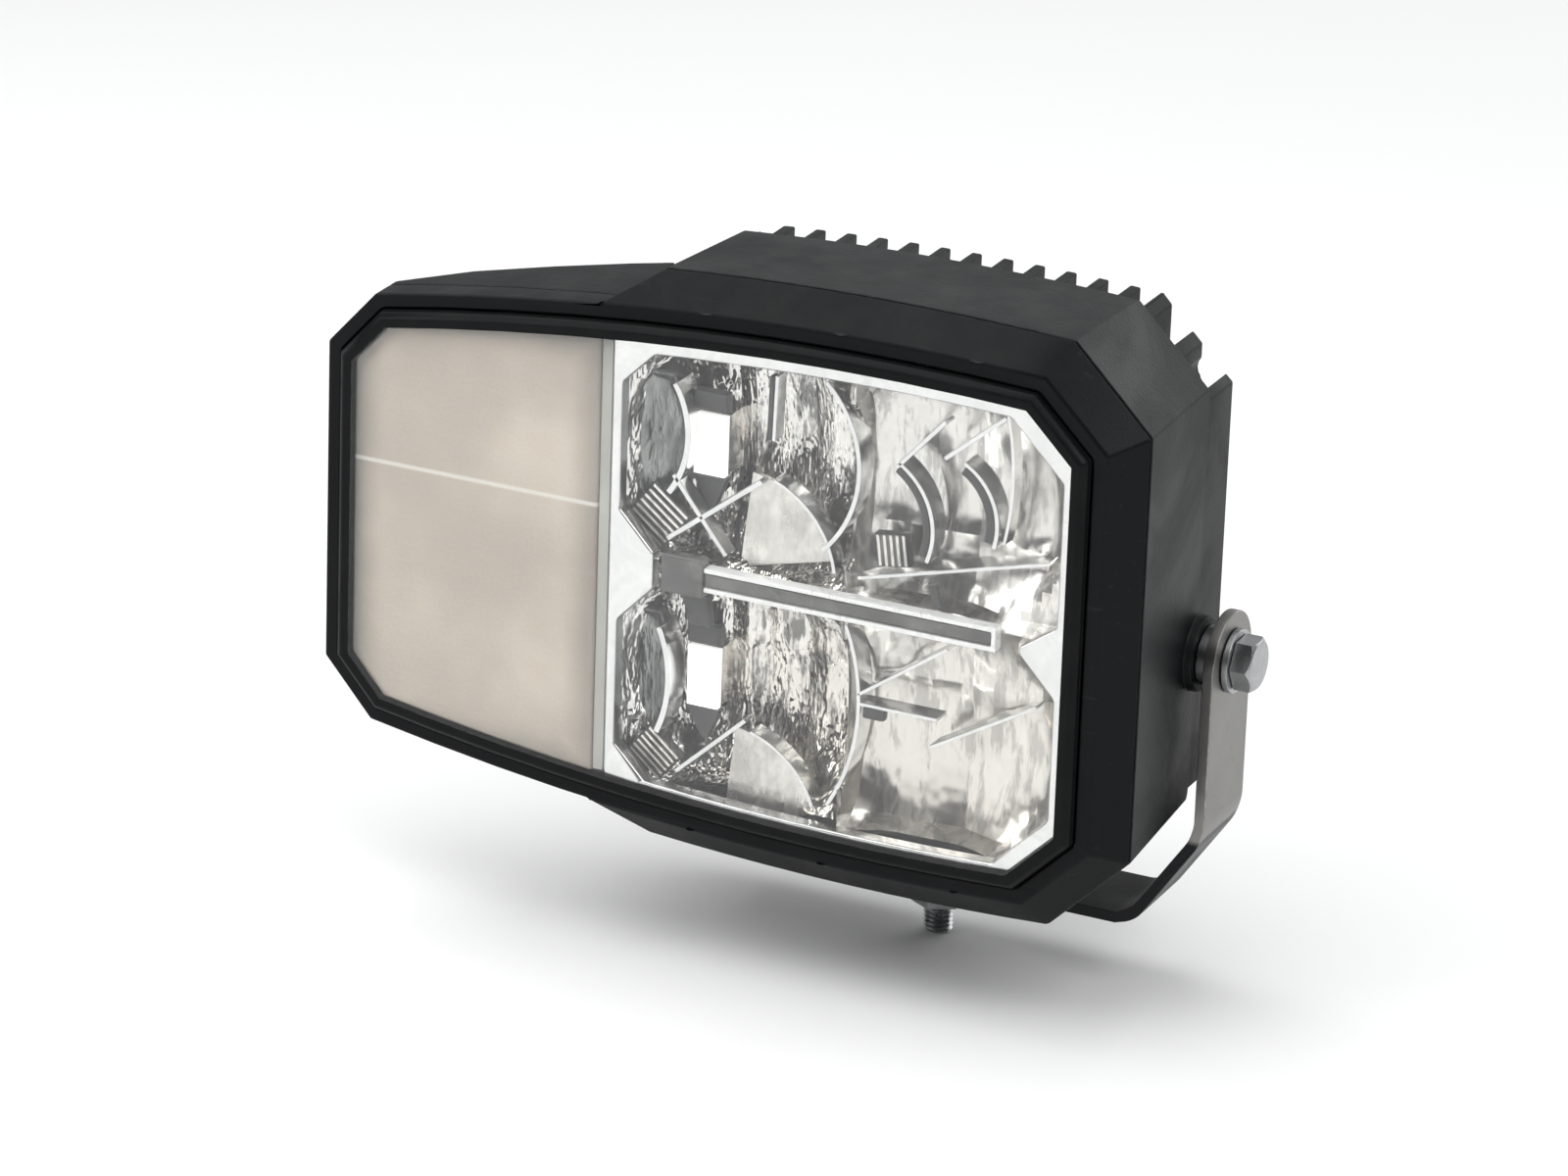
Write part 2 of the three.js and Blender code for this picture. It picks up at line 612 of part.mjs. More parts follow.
function makePanel() {
  return indicatorSlab(0, panelY, panelY + PANEL_THICK);
}

function makeTray() {
  const made = indicatorSlab(0, trayY, trayY + TRAY_DEPTH);
  return made.subtract(indicatorSlab(TRAY_WALL, trayY - OVERRUN, trayY + TRAY_DEPTH - TRAY_WALL));
}

function makeIndicatorBoard() {
  const back = trayY + TRAY_DEPTH - TRAY_WALL - GAP;
  const front = back - BOARD_THICK;
  let made = indicatorSlab(TRAY_WALL + GAP, front, back);
  const left = RIM_LEFT + TRIM_INSET;
  const middleX = (left + PANEL_RIGHT) / 2;
  const across = (PANEL_RIGHT - left - 2 * CHIP.across) / (CHIP.columns - 1);
  const up = (2 * (RIM_HALF_H - CHIP.up)) / (CHIP.rows - 1);
  for (let column = 0; column < CHIP.columns; column++)
    for (let row = 0; row < CHIP.rows; row++) {
      const x = middleX + (column - (CHIP.columns - 1) / 2) * across;
      const z = headZ + (row - (CHIP.rows - 1) / 2) * up;
      const half = CHIP.side / 2;
      made = made.add(
        box(x - half, x + half, front - CHIP.thick, front + BOARD_THICK / 2, z - half, z + half),
      );
    }
  return made;
}

// ---------- the electrical inlet and the vent ----------
function makeInletGasket() {
  const made = inletFlange(inletGasketY, inletGasketY + INLET.gasket);
  return made.subtract(inletWindow(inletGasketY - OVERRUN, inletGasketY + INLET.gasket + OVERRUN));
}

function makeInletShell() {
  const back = inletY + INLET.flange + INLET.body;
  const x = inletHalfX;
  const z = inletHalfZ;
  let made = inletFlange(inletY, inletY + INLET.flange);
  made = made.add(box(INLET.x - x, INLET.x + x, inletY, back, headZ - z, headZ + z));
  return made.subtract(inletWindow(inletY - OVERRUN, back + OVERRUN));
}

function makeInletInsert() {
  const wide = inletHalfX - INLET.wall - GAP;
  const high = inletHalfZ - INLET.wall - GAP;
  const face = inletY + INLET.flange;
  let made = box(INLET.x - wide, INLET.x + wide, inletY, face, headZ - high, headZ + high);
  for (let column = 0; column < INLET_PIN.columns; column++)
    for (let row = 0; row < INLET_PIN.rows; row++) {
      const x = INLET.x + (column - (INLET_PIN.columns - 1) / 2) * INLET_PIN.pitch;
      const z = headZ + (row - (INLET_PIN.rows - 1) / 2) * INLET_PIN.pitch;
      const half = INLET_PIN.side / 2;
      const tip = face + INLET_PIN.length;
      made = made.add(box(x - half, x + half, face - OVERRUN, tip, z - half, z + half));
    }
  return made;
}

function makeInletScrew(side) {
  const z = headZ + side * inletScrewZ;
  const seat = inletY + INLET.flange + GAP;
  const shank = rod("y", seat - INLET_SCREW.length, seat + OVERRUN, INLET.x, z, INLET_SCREW.d, 12);
  return shank.add(rod("y", seat, seat + INLET_SCREW.out, INLET.x, z, INLET_SCREW.head, 16));
}

function makeVent() {
  const y = -VENT.back + GAP;
  const stem = rod("y", y - VENT.stem, y + OVERRUN, VENT.x, headZ + VENT.z, VENT.d / 2 - 2 * GAP, 16);
  return stem.add(rod("y", y, y + VENT.thick, VENT.x, headZ + VENT.z, VENT.d, 20));
}

function makeCaseScrew({ x, z }) {
  const head = -CASE_SCREW_HEAD.thick + GAP;
  const shank = rod("y", partingY - CASE_SCREW_BITE, head + OVERRUN, x, headZ + z, CASE_SCREW_D, 12);
  return shank.add(rod("y", head, head + CASE_SCREW_HEAD.thick, x, headZ + z, CASE_SCREW_HEAD.d, 16));
}

// ---------- the tilt bolts ----------
// Each is built for the right side, and turned round the Z axis for the left one.
function makeSpacer() {
  const from = bossEndX + GAP;
  const made = rod("x", from, from + SPACER_THICK, 0, pivotZ, SPACER_D);
  return made.subtract(rod("x", 0, from + 2 * SPACER_THICK, 0, pivotZ, BOLT_D + 2 * HOLE_GAP));
}

function makeTiltWasher() {
  const from = armOuterX + GAP;
  const made = rod("x", from, from + WASHER_THICK, 0, pivotZ, WASHER_D);
  return made.subtract(rod("x", 0, from + 2 * WASHER_THICK, 0, pivotZ, BOLT_D + 2 * HOLE_GAP));
}

function makeTiltBolt() {
  const seat = armOuterX + GAP + WASHER_THICK + GAP;
  const shank = rod("x", bossEndX - BOSS_DEPTH + GAP, seat + OVERRUN, 0, pivotZ, BOLT_D, 20);
  return shank.add(hex("x", seat, seat + BOLT_HEAD, 0, pivotZ, BOLT_HEX));
}

// ---------- the bracket and its foot ----------
function makeBracket() {
  const base = FOOT_PAD.thick + GAP;
  const top = pivotZ + STRIP_WIDTH / 2;
  const outer = [
    [armOuterX - FOOT_BEND_IN, base],
    [armOuterX, base + FOOT_BEND_UP],
  ];
  const slope = Math.hypot(FOOT_BEND_IN, FOOT_BEND_UP);
  // Where the inner face bends, so that the strip keeps its thickness along the slant.
  const lowIn = (STRIP_THICK * (slope - FOOT_BEND_IN)) / FOOT_BEND_UP;
  const highUp = (STRIP_THICK * (slope - FOOT_BEND_UP)) / FOOT_BEND_IN;
  const right = [
    outer[0],
    outer[1],
    [armOuterX, top],
    [armInnerX, top],
    [armInnerX, base + FOOT_BEND_UP + highUp],
    [armOuterX - FOOT_BEND_IN - lowIn, base + STRIP_THICK],
  ];
  const left = right.map(([x, z]) => [-x, z]).reverse();
  const shape = new THREE.Shape([...right, ...left].map(([x, z]) => new THREE.Vector2(x, z)));
  const extruded = new THREE.ExtrudeGeometry(shape, { depth: STRIP_WIDTH, bevelEnabled: false });
  let made = solid(extruded.rotateX(Math.PI / 2).translate(0, STRIP_WIDTH / 2, 0));
  const half = STRIP_WIDTH / 2 + OVERRUN;
  const below = box(-FAR, FAR, -half, half, 0, pivotZ);
  made = made.intersect(below.add(rod("x", -FAR, FAR, 0, pivotZ, STRIP_WIDTH, 40)));
  const hole = BOLT_D + 2 * HOLE_GAP;
  made = made.subtract(rod("x", -FAR, FAR, 0, pivotZ, hole));
  return made.subtract(rod("z", 0, footTop + OVERRUN, FOOT_OFFSET, 0, hole));
}

function makeFootPad() {
  const { length, width, thick } = FOOT_PAD;
  const made = box(-length / 2, length / 2, -width / 2, width / 2, 0, thick);
  return made.subtract(rod("z", -OVERRUN, thick + OVERRUN, 0, 0, BOLT_D + 2 * HOLE_GAP));
}

function makeFootBolt() {
  const seat = footTop + GAP;
  const top = seat + BUTTON_HEAD;
  const radius = BUTTON_D / 2;
  // Half section, from the end of the shank up to the button head's flat top.
  const section = [
    [0, -STUD_BELOW],
    [BOLT_D / 2 - STUD_CHAMFER, -STUD_BELOW],
    [BOLT_D / 2, -STUD_BELOW + STUD_CHAMFER],
    [BOLT_D / 2, seat],
    [radius, seat],
    [radius, seat + BUTTON_DOME.rim],
    [radius * BUTTON_DOME.shoulder, top - BUTTON_DOME.shoulderDown],
    [radius * BUTTON_DOME.flat, top],
    [0, top],
  ];
  const turned = new THREE.LatheGeometry(section.map(([r, z]) => new THREE.Vector2(r, z)), 24);
  const made = solid(turned.rotateX(Math.PI / 2));
  return made.subtract(hex("z", top - BUTTON_SOCKET.deep, top + OVERRUN, 0, 0, BUTTON_SOCKET.flats));
}

function makeFootWasher() {
  const made = rod("z", -GAP - WASHER_THICK, -GAP, 0, 0, WASHER_D);
  return made.subtract(rod("z", -2 * WASHER_THICK, OVERRUN, 0, 0, BOLT_D + 2 * HOLE_GAP));
}

function makeFootNut() {
  const top = -GAP - WASHER_THICK - GAP;
  const made = hex("z", top - NUT_THICK, top, 0, 0, BOLT_HEX);
  return made.subtract(rod("z", -STUD_BELOW, 0, 0, 0, BOLT_D + 2 * HOLE_GAP));
}

// ---------- materials ----------
const paint = (color, roughness, metalness, opacity = 1) =>
  new THREE.MeshStandardMaterial({ color, roughness, metalness, opacity, transparent: opacity < 1 });
const BLACK_CASE = paint(0x222527, 0.55, 0.1);
const BLACK_PLASTIC = paint(0x16181a, 0.45, 0);
const RUBBER = paint(0x101010, 0.9, 0);
const STEEL = paint(0x8d8b86, 0.4, 0.9);
const ZINC = paint(0xb9bdc0, 0.35, 0.9);
const CHROME = paint(0xe6e8e8, 0.12, 1);
const SILVER = paint(0xcfd2d2, 0.3, 0.7);
const SMOKE = paint(0x5a5a58, 0.2, 0);
const CLEAR = paint(0xf2f4f4, 0.05, 0, 0.3);
const FROSTED = paint(0xcfc7b8, 0.6, 0);
const WHITE = paint(0xf0f0ea, 0.5, 0);
const LED_WHITE = paint(0xffffff, 0.4, 0);
const BOARD = paint(0x2c5a3a, 0.6, 0);
const ALUMINIUM = paint(0xa9adb0, 0.45, 0.9);

// ---------- the assembly ----------
// Groups follow what moves: the foot stays, the bracket swivels on it, the lamp tilts in the bracket.
const lamp = new THREE.Group();
const bracket = new THREE.Group();
const foot = new THREE.Group();

function put(group, name, made, material, turnZ = 0) {
  const mesh = new THREE.Mesh(geometryOf(made), material);
  mesh.name = name;
  mesh.rotation.z = turnZ;
  group.add(mesh);
}

put(foot, "foot_bolt", makeFootBolt(), ZINC);
put(foot, "foot_washer", makeFootWasher(), ZINC);
put(foot, "foot_nut", makeFootNut(), ZINC);
put(foot, "foot_pad", makeFootPad(), RUBBER);

put(bracket, "bracket", makeBracket(), STEEL);

put(lamp, "housing", makeHousing(), BLACK_CASE);
put(lamp, "bezel", makeBezel(), BLACK_PLASTIC);
put(lamp, "lens", makeLens(), CLEAR);
put(lamp, "lens_gasket", makeGasket(), RUBBER);
put(lamp, "trim_frame", makeTrim(), CHROME);

const QUARTERS = [
  ["upper_left", -1, 1],
  ["upper_right", 1, 1],
  ["lower_left", -1, -1],
  ["lower_right", 1, -1],
];
for (const [where, sideX, sideZ] of QUARTERS) {
  put(lamp, "reflector_" + where, makeReflector(sideX, sideZ), CHROME);
  put(lamp, "led_module_" + where, makeLed(sideX, sideZ), LED_WHITE);
}

put(lamp, "light_bar_channel", makeBarChannel(), SILVER);
put(lamp, "light_guide", makeLightGuide(), SMOKE);
put(lamp, "light_bar_block", makeBarBlock(), SMOKE);

put(lamp, "led_board", makeLedBoard(), BOARD);
put(lamp, "heat_spreader", makeSpreader(), ALUMINIUM);
put(lamp, "driver_board", makeDriver(), BOARD);
for (const [where, sideX, sideZ] of QUARTERS)
  put(lamp, "standoff_" + where, makeStandoff(sideX * standoffX, sideZ * standoffZ), ALUMINIUM);

put(lamp, "indicator_panel", makePanel(), FROSTED);
put(lamp, "indicator_tray", makeTray(), WHITE);
put(lamp, "indicator_board", makeIndicatorBoard(), WHITE);

put(lamp, "inlet_gasket", makeInletGasket(), RUBBER);
put(lamp, "inlet_shell", makeInletShell(), BLACK_PLASTIC);
put(lamp, "inlet_insert", makeInletInsert(), BLACK_PLASTIC);
put(lamp, "inlet_screw_lower", makeInletScrew(-1), ZINC);
put(lamp, "inlet_screw_upper", makeInletScrew(1), ZINC);
put(lamp, "vent_plug", makeVent(), BLACK_PLASTIC);
caseScrews.forEach((screw, i) => put(lamp, "case_screw_" + (i + 1), makeCaseScrew(screw), ZINC));

for (const [side, turn] of [["right", 0], ["left", Math.PI]]) {
  put(lamp, "tilt_spacer_" + side, makeSpacer(), ZINC, turn);
  put(lamp, "tilt_washer_" + side, makeTiltWasher(), ZINC, turn);
  put(lamp, "tilt_bolt_" + side, makeTiltBolt(), ZINC, turn);
}

bracket.position.x = -FOOT_OFFSET;
bracket.add(lamp);
foot.add(bracket);

const part = new THREE.Group();
part.add(foot);

export default part;
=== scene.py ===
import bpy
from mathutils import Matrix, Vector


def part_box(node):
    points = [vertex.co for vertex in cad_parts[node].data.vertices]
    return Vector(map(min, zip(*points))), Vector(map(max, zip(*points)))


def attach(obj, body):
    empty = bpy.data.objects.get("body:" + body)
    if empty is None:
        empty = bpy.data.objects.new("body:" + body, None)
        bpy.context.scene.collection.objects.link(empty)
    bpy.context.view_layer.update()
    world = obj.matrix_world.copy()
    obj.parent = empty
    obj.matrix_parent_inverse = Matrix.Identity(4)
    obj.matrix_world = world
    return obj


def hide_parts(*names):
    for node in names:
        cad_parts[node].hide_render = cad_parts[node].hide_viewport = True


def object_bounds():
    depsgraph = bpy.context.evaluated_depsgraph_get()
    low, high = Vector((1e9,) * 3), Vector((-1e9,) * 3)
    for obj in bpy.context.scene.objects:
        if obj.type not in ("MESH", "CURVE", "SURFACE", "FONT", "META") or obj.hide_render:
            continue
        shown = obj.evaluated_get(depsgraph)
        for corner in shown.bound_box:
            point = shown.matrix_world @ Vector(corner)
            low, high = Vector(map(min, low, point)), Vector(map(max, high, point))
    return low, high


bl_info = {
    "name": "Work Headlamp",
    "version": (1, 0, 0),
    "blender": (4, 5, 0),
    "location": "3D View > Sidebar > Headlamp",
    "description": "Builds the looks of a bracket-mounted work headlamp round its packed frame",
    "category": "Object",
}

import math

import bmesh
import bpy
from bpy.props import FloatProperty, FloatVectorProperty, IntProperty, PointerProperty
from mathutils import Matrix, Vector

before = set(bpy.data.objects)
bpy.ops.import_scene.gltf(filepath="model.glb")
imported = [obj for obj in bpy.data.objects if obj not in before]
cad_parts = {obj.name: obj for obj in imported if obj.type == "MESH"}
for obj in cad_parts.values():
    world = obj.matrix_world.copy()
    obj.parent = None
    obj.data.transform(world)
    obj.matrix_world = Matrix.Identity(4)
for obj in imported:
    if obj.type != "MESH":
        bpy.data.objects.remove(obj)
CAD_BOX = [list(corner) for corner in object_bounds()]

MM = 0.001
QUARTERS = ("upper_left", "upper_right", "lower_left", "lower_right")  # the four quarters behind the lens
BOLT_FLATS = 13.0 * MM
BOLT_HEAD = 5.3 * MM
WASHER_HOLE = 4.4 * MM  # radius
WASHER_EDGE = 8.5 * MM  # radius
SPACER_EDGE = 8.0 * MM  # radius
PAINTED_SHADE_FROM, PAINTED_SHADE_TO = 26.5 * MM, 28.5 * MM  # where the bracket's painted black shade gives way to bare steel, above its base
# The head's middle: over the bracket's centre line, level with the middle of the lens.
BRACKET_LOW, BRACKET_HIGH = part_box("bracket")
LENS_LOW, LENS_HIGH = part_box("lens")
HEAD_X = (BRACKET_LOW.x + BRACKET_HIGH.x) / 2
HEAD_Z = (LENS_LOW.z + LENS_HIGH.z) / 2


def head(x, z, y=0.0):
    """A point given in millimetres from the head's middle, with y in metres."""
    return Vector((HEAD_X + x * MM, y, HEAD_Z + z * MM))


# ---------------------------------------------------------------- sizes and colours
class LampSizes(bpy.types.PropertyGroup):
    shell_round: FloatProperty(
        name="Shell Edge Radius", description="Rounding of the plastic and cast edges",
        default=0.7 * MM, min=0.0, max=2 * MM, unit="LENGTH", subtype="DISTANCE")
    metal_round: FloatProperty(
        name="Metal Edge Radius", description="Rounding of the pressed steel edges",
        default=0.35 * MM, min=0.0, max=1 * MM, unit="LENGTH", subtype="DISTANCE")
    bend_outer: FloatProperty(
        name="Bend Run", description="How far the outside of each bracket bend is rounded",
        default=5.0 * MM, min=1 * MM, max=12 * MM, unit="LENGTH", subtype="DISTANCE")
    bend_inner: FloatProperty(
        name="Inner Bend Run", description="How far the inside of each bracket bend is rounded",
        default=3.6 * MM, min=1 * MM, max=12 * MM, unit="LENGTH", subtype="DISTANCE")
    lens_border: FloatProperty(
        name="Lens Border", description="Width of the black print round the lens face",
        default=2.5 * MM, min=0.5 * MM, max=10 * MM, unit="LENGTH", subtype="DISTANCE")
    thread_pitch: FloatProperty(
        name="Thread Pitch", description="Rise of the foot bolt's thread in one turn",
        default=1.25 * MM, min=0.5 * MM, max=3 * MM, unit="LENGTH", subtype="DISTANCE")
    thread_depth: FloatProperty(
        name="Thread Depth", description="How deep the thread is cut",
        default=0.55 * MM, min=0.1 * MM, max=1 * MM, unit="LENGTH", subtype="DISTANCE")
    bowl_depth: FloatProperty(
        name="Bowl Depth", description="Depth of each reflector bowl behind its rim",
        default=13.0 * MM, min=2 * MM, max=20 * MM, unit="LENGTH", subtype="DISTANCE")
    bowl_columns: IntProperty(
        name="Facet Columns", description="Curved upright facets across each reflector",
        default=6, min=2, max=12)
    facet_rise: FloatProperty(
        name="Facet Rise", description="How far the ridges between facets stand out",
        default=1.8 * MM, min=0.0, max=4 * MM, unit="LENGTH", subtype="DISTANCE")


class LampColours(bpy.types.PropertyGroup):
    shell: FloatVectorProperty(
        name="Shell", description="Front bezel", subtype="COLOR", default=(0.0045, 0.005, 0.0058),
        min=0.0, max=1.0)
    casting: FloatVectorProperty(
        name="Casting", description="Finned rear case", subtype="COLOR",
        default=(0.0085, 0.0095, 0.010), min=0.0, max=1.0)
    steel: FloatVectorProperty(
        name="Bracket Steel", description="Bracket", subtype="COLOR",
        default=(0.27, 0.265, 0.25), min=0.0, max=1.0)
    zinc: FloatVectorProperty(
        name="Plating", description="Bolts and washers", subtype="COLOR",
        default=(0.40, 0.41, 0.415), min=0.0, max=1.0)
    mirror: FloatVectorProperty(
        name="Mirror", description="Metallised reflectors", subtype="COLOR",
        default=(0.80, 0.79, 0.77), min=0.0, max=1.0)
    panel: FloatVectorProperty(
        name="Indicator", description="Frosted indicator panel", subtype="COLOR",
        default=(0.52, 0.455, 0.39), min=0.0, max=1.0)
    floor: FloatVectorProperty(
        name="Floor", description="Studio floor", subtype="COLOR", default=(0.86, 0.86, 0.86),
        min=0.0, max=1.0)


# ---------------------------------------------------------------- modelling helpers
def clear_selection():
    if bpy.context.object is not None and bpy.context.object.mode != "OBJECT":
        bpy.ops.object.mode_set(mode="OBJECT")
    bpy.ops.object.select_all(action="DESELECT")


def only(piece):
    clear_selection()
    piece.select_set(True)
    bpy.context.view_layer.objects.active = piece
    return piece


def start_edit(piece, mode="FACE"):
    only(piece)
    bpy.ops.object.mode_set(mode="EDIT")
    bpy.ops.mesh.select_mode(type=mode)
    bpy.ops.mesh.select_all(action="DESELECT")


def end_edit():
    bpy.ops.object.mode_set(mode="OBJECT")


def choose(kind, wanted):
    """In edit mode, selects the faces, edges or verts that the test wants, and nothing else."""
    mesh = bmesh.from_edit_mesh(bpy.context.object.data)
    for part in (mesh.verts, mesh.edges, mesh.faces):
        for item in part:
            item.select = False
    found = [item for item in getattr(mesh, kind) if wanted(item)]
    for item in found:
        item.select_set(True)
    mesh.select_flush_mode()
    bmesh.update_edit_mesh(bpy.context.object.data)
    if not found:
        raise RuntimeError(f"{bpy.context.object.name}: nothing was selected")


def added(name):
    """The primitive just added, named and alone in the selection."""
    piece = bpy.context.object
    piece.name = name
    piece.data.name = name
    return only(piece)


def settle(piece):
    """Moves a piece's place, turn and size into its mesh."""
    only(piece)
    bpy.ops.object.transform_apply(location=True, rotation=True, scale=True)
    return piece


def block(name, middle, size, turn_y=0.0):
    """A box round a point, turned about Y, as a start."""
    clear_selection()
    bpy.ops.mesh.primitive_cube_add(size=1.0, location=middle, rotation=(0.0, turn_y, 0.0))
    piece = added(name)
    piece.scale = size
    return settle(piece)


def cylinder(name, axis, low, high, a, b, radius, sides=48):
    """A closed cylinder along an axis from low to high, with its centre at the other two."""
    middle, turn = {
        "x": (((low + high) / 2, a, b), (0.0, math.pi / 2, 0.0)),
        "y": ((a, (low + high) / 2, b), (math.pi / 2, 0.0, 0.0)),
        "z": ((a, b, (low + high) / 2), (0.0, 0.0, 0.0)),
    }[axis]
    clear_selection()
    bpy.ops.mesh.primitive_cylinder_add(
        vertices=sides, radius=radius, depth=high - low, location=middle, rotation=turn)
    return settle(added(name))


def modify(piece, kind, **settings):
    """Adds a modifier and applies it."""
    only(piece)
    made = piece.modifiers.new(kind.title(), kind)
    for key, value in settings.items():
        setattr(made, key, value)
    bpy.ops.object.modifier_apply(modifier=made.name)
    return piece


def cut(piece, cutter, operation="DIFFERENCE"):
    modify(piece, "BOOLEAN", operation=operation, object=cutter, solver="EXACT")
    bpy.data.objects.remove(cutter)
    return piece


def smooth(piece, degrees=32.0):
    only(piece)
    bpy.ops.object.shade_smooth_by_angle(angle=math.radians(degrees))
    return piece


def round_edges(piece, width, segments=2, degrees=30.0, clamp=True):
    modify(piece, "BEVEL", width=width, segments=segments, limit_method="ANGLE",
           angle_limit=math.radians(degrees), use_clamp_overlap=clamp, miter_outer="MITER_ARC",
           harden_normals=False)
    smooth(piece, 38.0)
    return modify(piece, "WEIGHTED_NORMAL", keep_sharp=True, weight=60)


def face_outwards(piece):
    start_edit(piece)
    bpy.ops.mesh.select_all(action="SELECT")
    bpy.ops.mesh.remove_doubles(threshold=0.005 * MM)
    bpy.ops.mesh.normals_make_consistent(inside=False)
    end_edit()
    return piece


def copy_of(node, name):
    """A copy of a frame node with its loose triangles merged into plain faces."""
    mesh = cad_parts[node].data.copy()
    mesh.materials.clear()
    mesh.name = name
    piece = bpy.data.objects.new(name, mesh)
    bpy.context.scene.collection.objects.link(piece)
    only(piece)
    bpy.ops.mesh.customdata_custom_splitnormals_clear()
    start_edit(piece)
    bpy.ops.mesh.select_all(action="SELECT")
    bpy.ops.mesh.remove_doubles(threshold=0.02 * MM)
    bpy.ops.mesh.dissolve_limited(angle_limit=math.radians(0.6))
    end_edit()
    return piece


def joined(name, pieces):
    clear_selection()
    for piece in pieces:
        piece.select_set(True)
    bpy.context.view_layer.objects.active = pieces[0]
    bpy.ops.object.join()
    return added(name)


def hand_over(piece, body, slot, material, *nodes):
    """Gives a finished piece its material and its place in the frame."""
    settle(piece)
    piece.data.materials.clear()
    piece.data.materials.append(material)
    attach(piece, body)
    if nodes:
        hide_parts(*nodes)
    return piece


def finish_node(node, material):
    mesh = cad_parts[node].data
    mesh.materials.clear()
    mesh.materials.append(material)


# ---------------------------------------------------------------- shader helpers
def node(tree, kind, inputs=None, **settings):
    """A node with its settings, and each input given as a value or as a socket to link."""
    made = tree.nodes.new(kind)
    for key, value in settings.items():
        setattr(made, key, value)
    for key, value in (inputs or {}).items():
        if isinstance(value, bpy.types.NodeSocket):
            tree.links.new(value, made.inputs[key])
        else:
            made.inputs[key].default_value = value
    return made


def maths(tree, operation, a, b=0.0, clamp=False):
    return node(tree, "ShaderNodeMath", {0: a, 1: b}, operation=operation, use_clamp=clamp).outputs[0]


def ramp_between(tree, value, low, high, to_low=0.0, to_high=1.0):
    return node(tree, "ShaderNodeMapRange",
                {"Value": value, "From Min": low, "From Max": high, "To Min": to_low, "To Max": to_high},
                interpolation_type="SMOOTHSTEP").outputs["Result"]


def blend(tree, factor, a, b):
    made = tree.nodes.new("ShaderNodeMix")
    made.data_type = "RGBA"
    for socket, value in ((0, factor), (6, a), (7, b)):
        if isinstance(value, bpy.types.NodeSocket):
            tree.links.new(value, made.inputs[socket])
        elif socket == 0:
            made.inputs[0].default_value = value
        else:
            made.inputs[socket].default_value = (*value[:3], 1.0)
    return made.outputs[2]


def group(name, inputs, outputs):
    """A new shader group with named sockets, as its tree, its inputs and its outputs."""
    tree = bpy.data.node_groups.new(name, "ShaderNodeTree")
    for label, value in inputs.items():
        vector = isinstance(value, tuple)
        kind = "NodeSocketVector" if vector else "NodeSocketFloat"
        socket = tree.interface.new_socket(name=label, in_out="INPUT", socket_type=kind)
        socket.default_value = value
    for label in outputs:
        tree.interface.new_socket(name=label, in_out="OUTPUT", socket_type="NodeSocketFloat")
    return tree, tree.nodes.new("NodeGroupInput").outputs, tree.nodes.new("NodeGroupOutput").inputs


def own_coordinates(tree):
    return node(tree, "ShaderNodeTexCoord").outputs["Object"]


def make_worn_edges():
    """Where a corner has been rubbed: the rounded normal leaves the real one, in patches."""
    tree, given, result = group("Worn Edges", {"Width": 0.0008, "Amount": 1.0, "Patches": 220.0}, ["Mask"])
    rounded = node(tree, "ShaderNodeBevel", {"Radius": given["Width"]}, samples=4).outputs["Normal"]
    real = node(tree, "ShaderNodeNewGeometry").outputs["Normal"]
    agree = node(tree, "ShaderNodeVectorMath", {0: rounded, 1: real},
                 operation="DOT_PRODUCT").outputs["Value"]
    corner = ramp_between(tree, agree, 0.995, 0.86)
    noise = node(tree, "ShaderNodeTexNoise",
                 {"Vector": own_coordinates(tree), "Scale": given["Patches"], "Detail": 5.0,
                  "Roughness": 0.65}).outputs["Fac"]
    patches = ramp_between(tree, noise, 0.42, 0.66)
    tree.links.new(maths(tree, "MULTIPLY", maths(tree, "MULTIPLY", corner, patches), given["Amount"], True),
                   result["Mask"])
    return tree


def make_moulded_grain():
    """The fine pebbled skin of a moulding or of powder coat."""
    tree, given, result = group("Moulded Grain", {"Scale": 1400.0, "Clumps": 90.0}, ["Height", "Tone"])
    place = own_coordinates(tree)
    cells = node(tree, "ShaderNodeTexVoronoi", {"Vector": place, "Scale": given["Scale"]},
                 feature="SMOOTH_F1").outputs["Distance"]
    fine = node(tree, "ShaderNodeTexNoise",
                {"Vector": place, "Scale": given["Scale"], "Detail": 3.0}).outputs["Fac"]
    clumps = node(tree, "ShaderNodeTexNoise",
                  {"Vector": place, "Scale": given["Clumps"], "Detail": 4.0}).outputs["Fac"]
    tree.links.new(maths(tree, "ADD", cells, maths(tree, "MULTIPLY", fine, 0.6)), result["Height"])
    tree.links.new(clumps, result["Tone"])
    return tree


def make_brushed_lines():
    """Fine parallel marks, long along the axis with the smallest stretch."""
    tree, given, result = group(
        "Brushed Lines", {"Stretch": (1.0, 1.0, 1.0), "Scale": 900.0}, ["Height", "Tone"])
    place = node(tree, "ShaderNodeVectorMath", {0: own_coordinates(tree), 1: given["Stretch"]},
                 operation="MULTIPLY").outputs["Vector"]
    lines = node(tree, "ShaderNodeTexNoise",
                 {"Vector": place, "Scale": given["Scale"], "Detail": 4.0, "Roughness": 0.7}).outputs["Fac"]
    drift = node(tree, "ShaderNodeTexNoise",
                 {"Vector": place, "Scale": maths(tree, "MULTIPLY", given["Scale"], 0.12),
                  "Detail": 3.0}).outputs["Fac"]
    tree.links.new(lines, result["Height"])
    tree.links.new(drift, result["Tone"])
    return tree


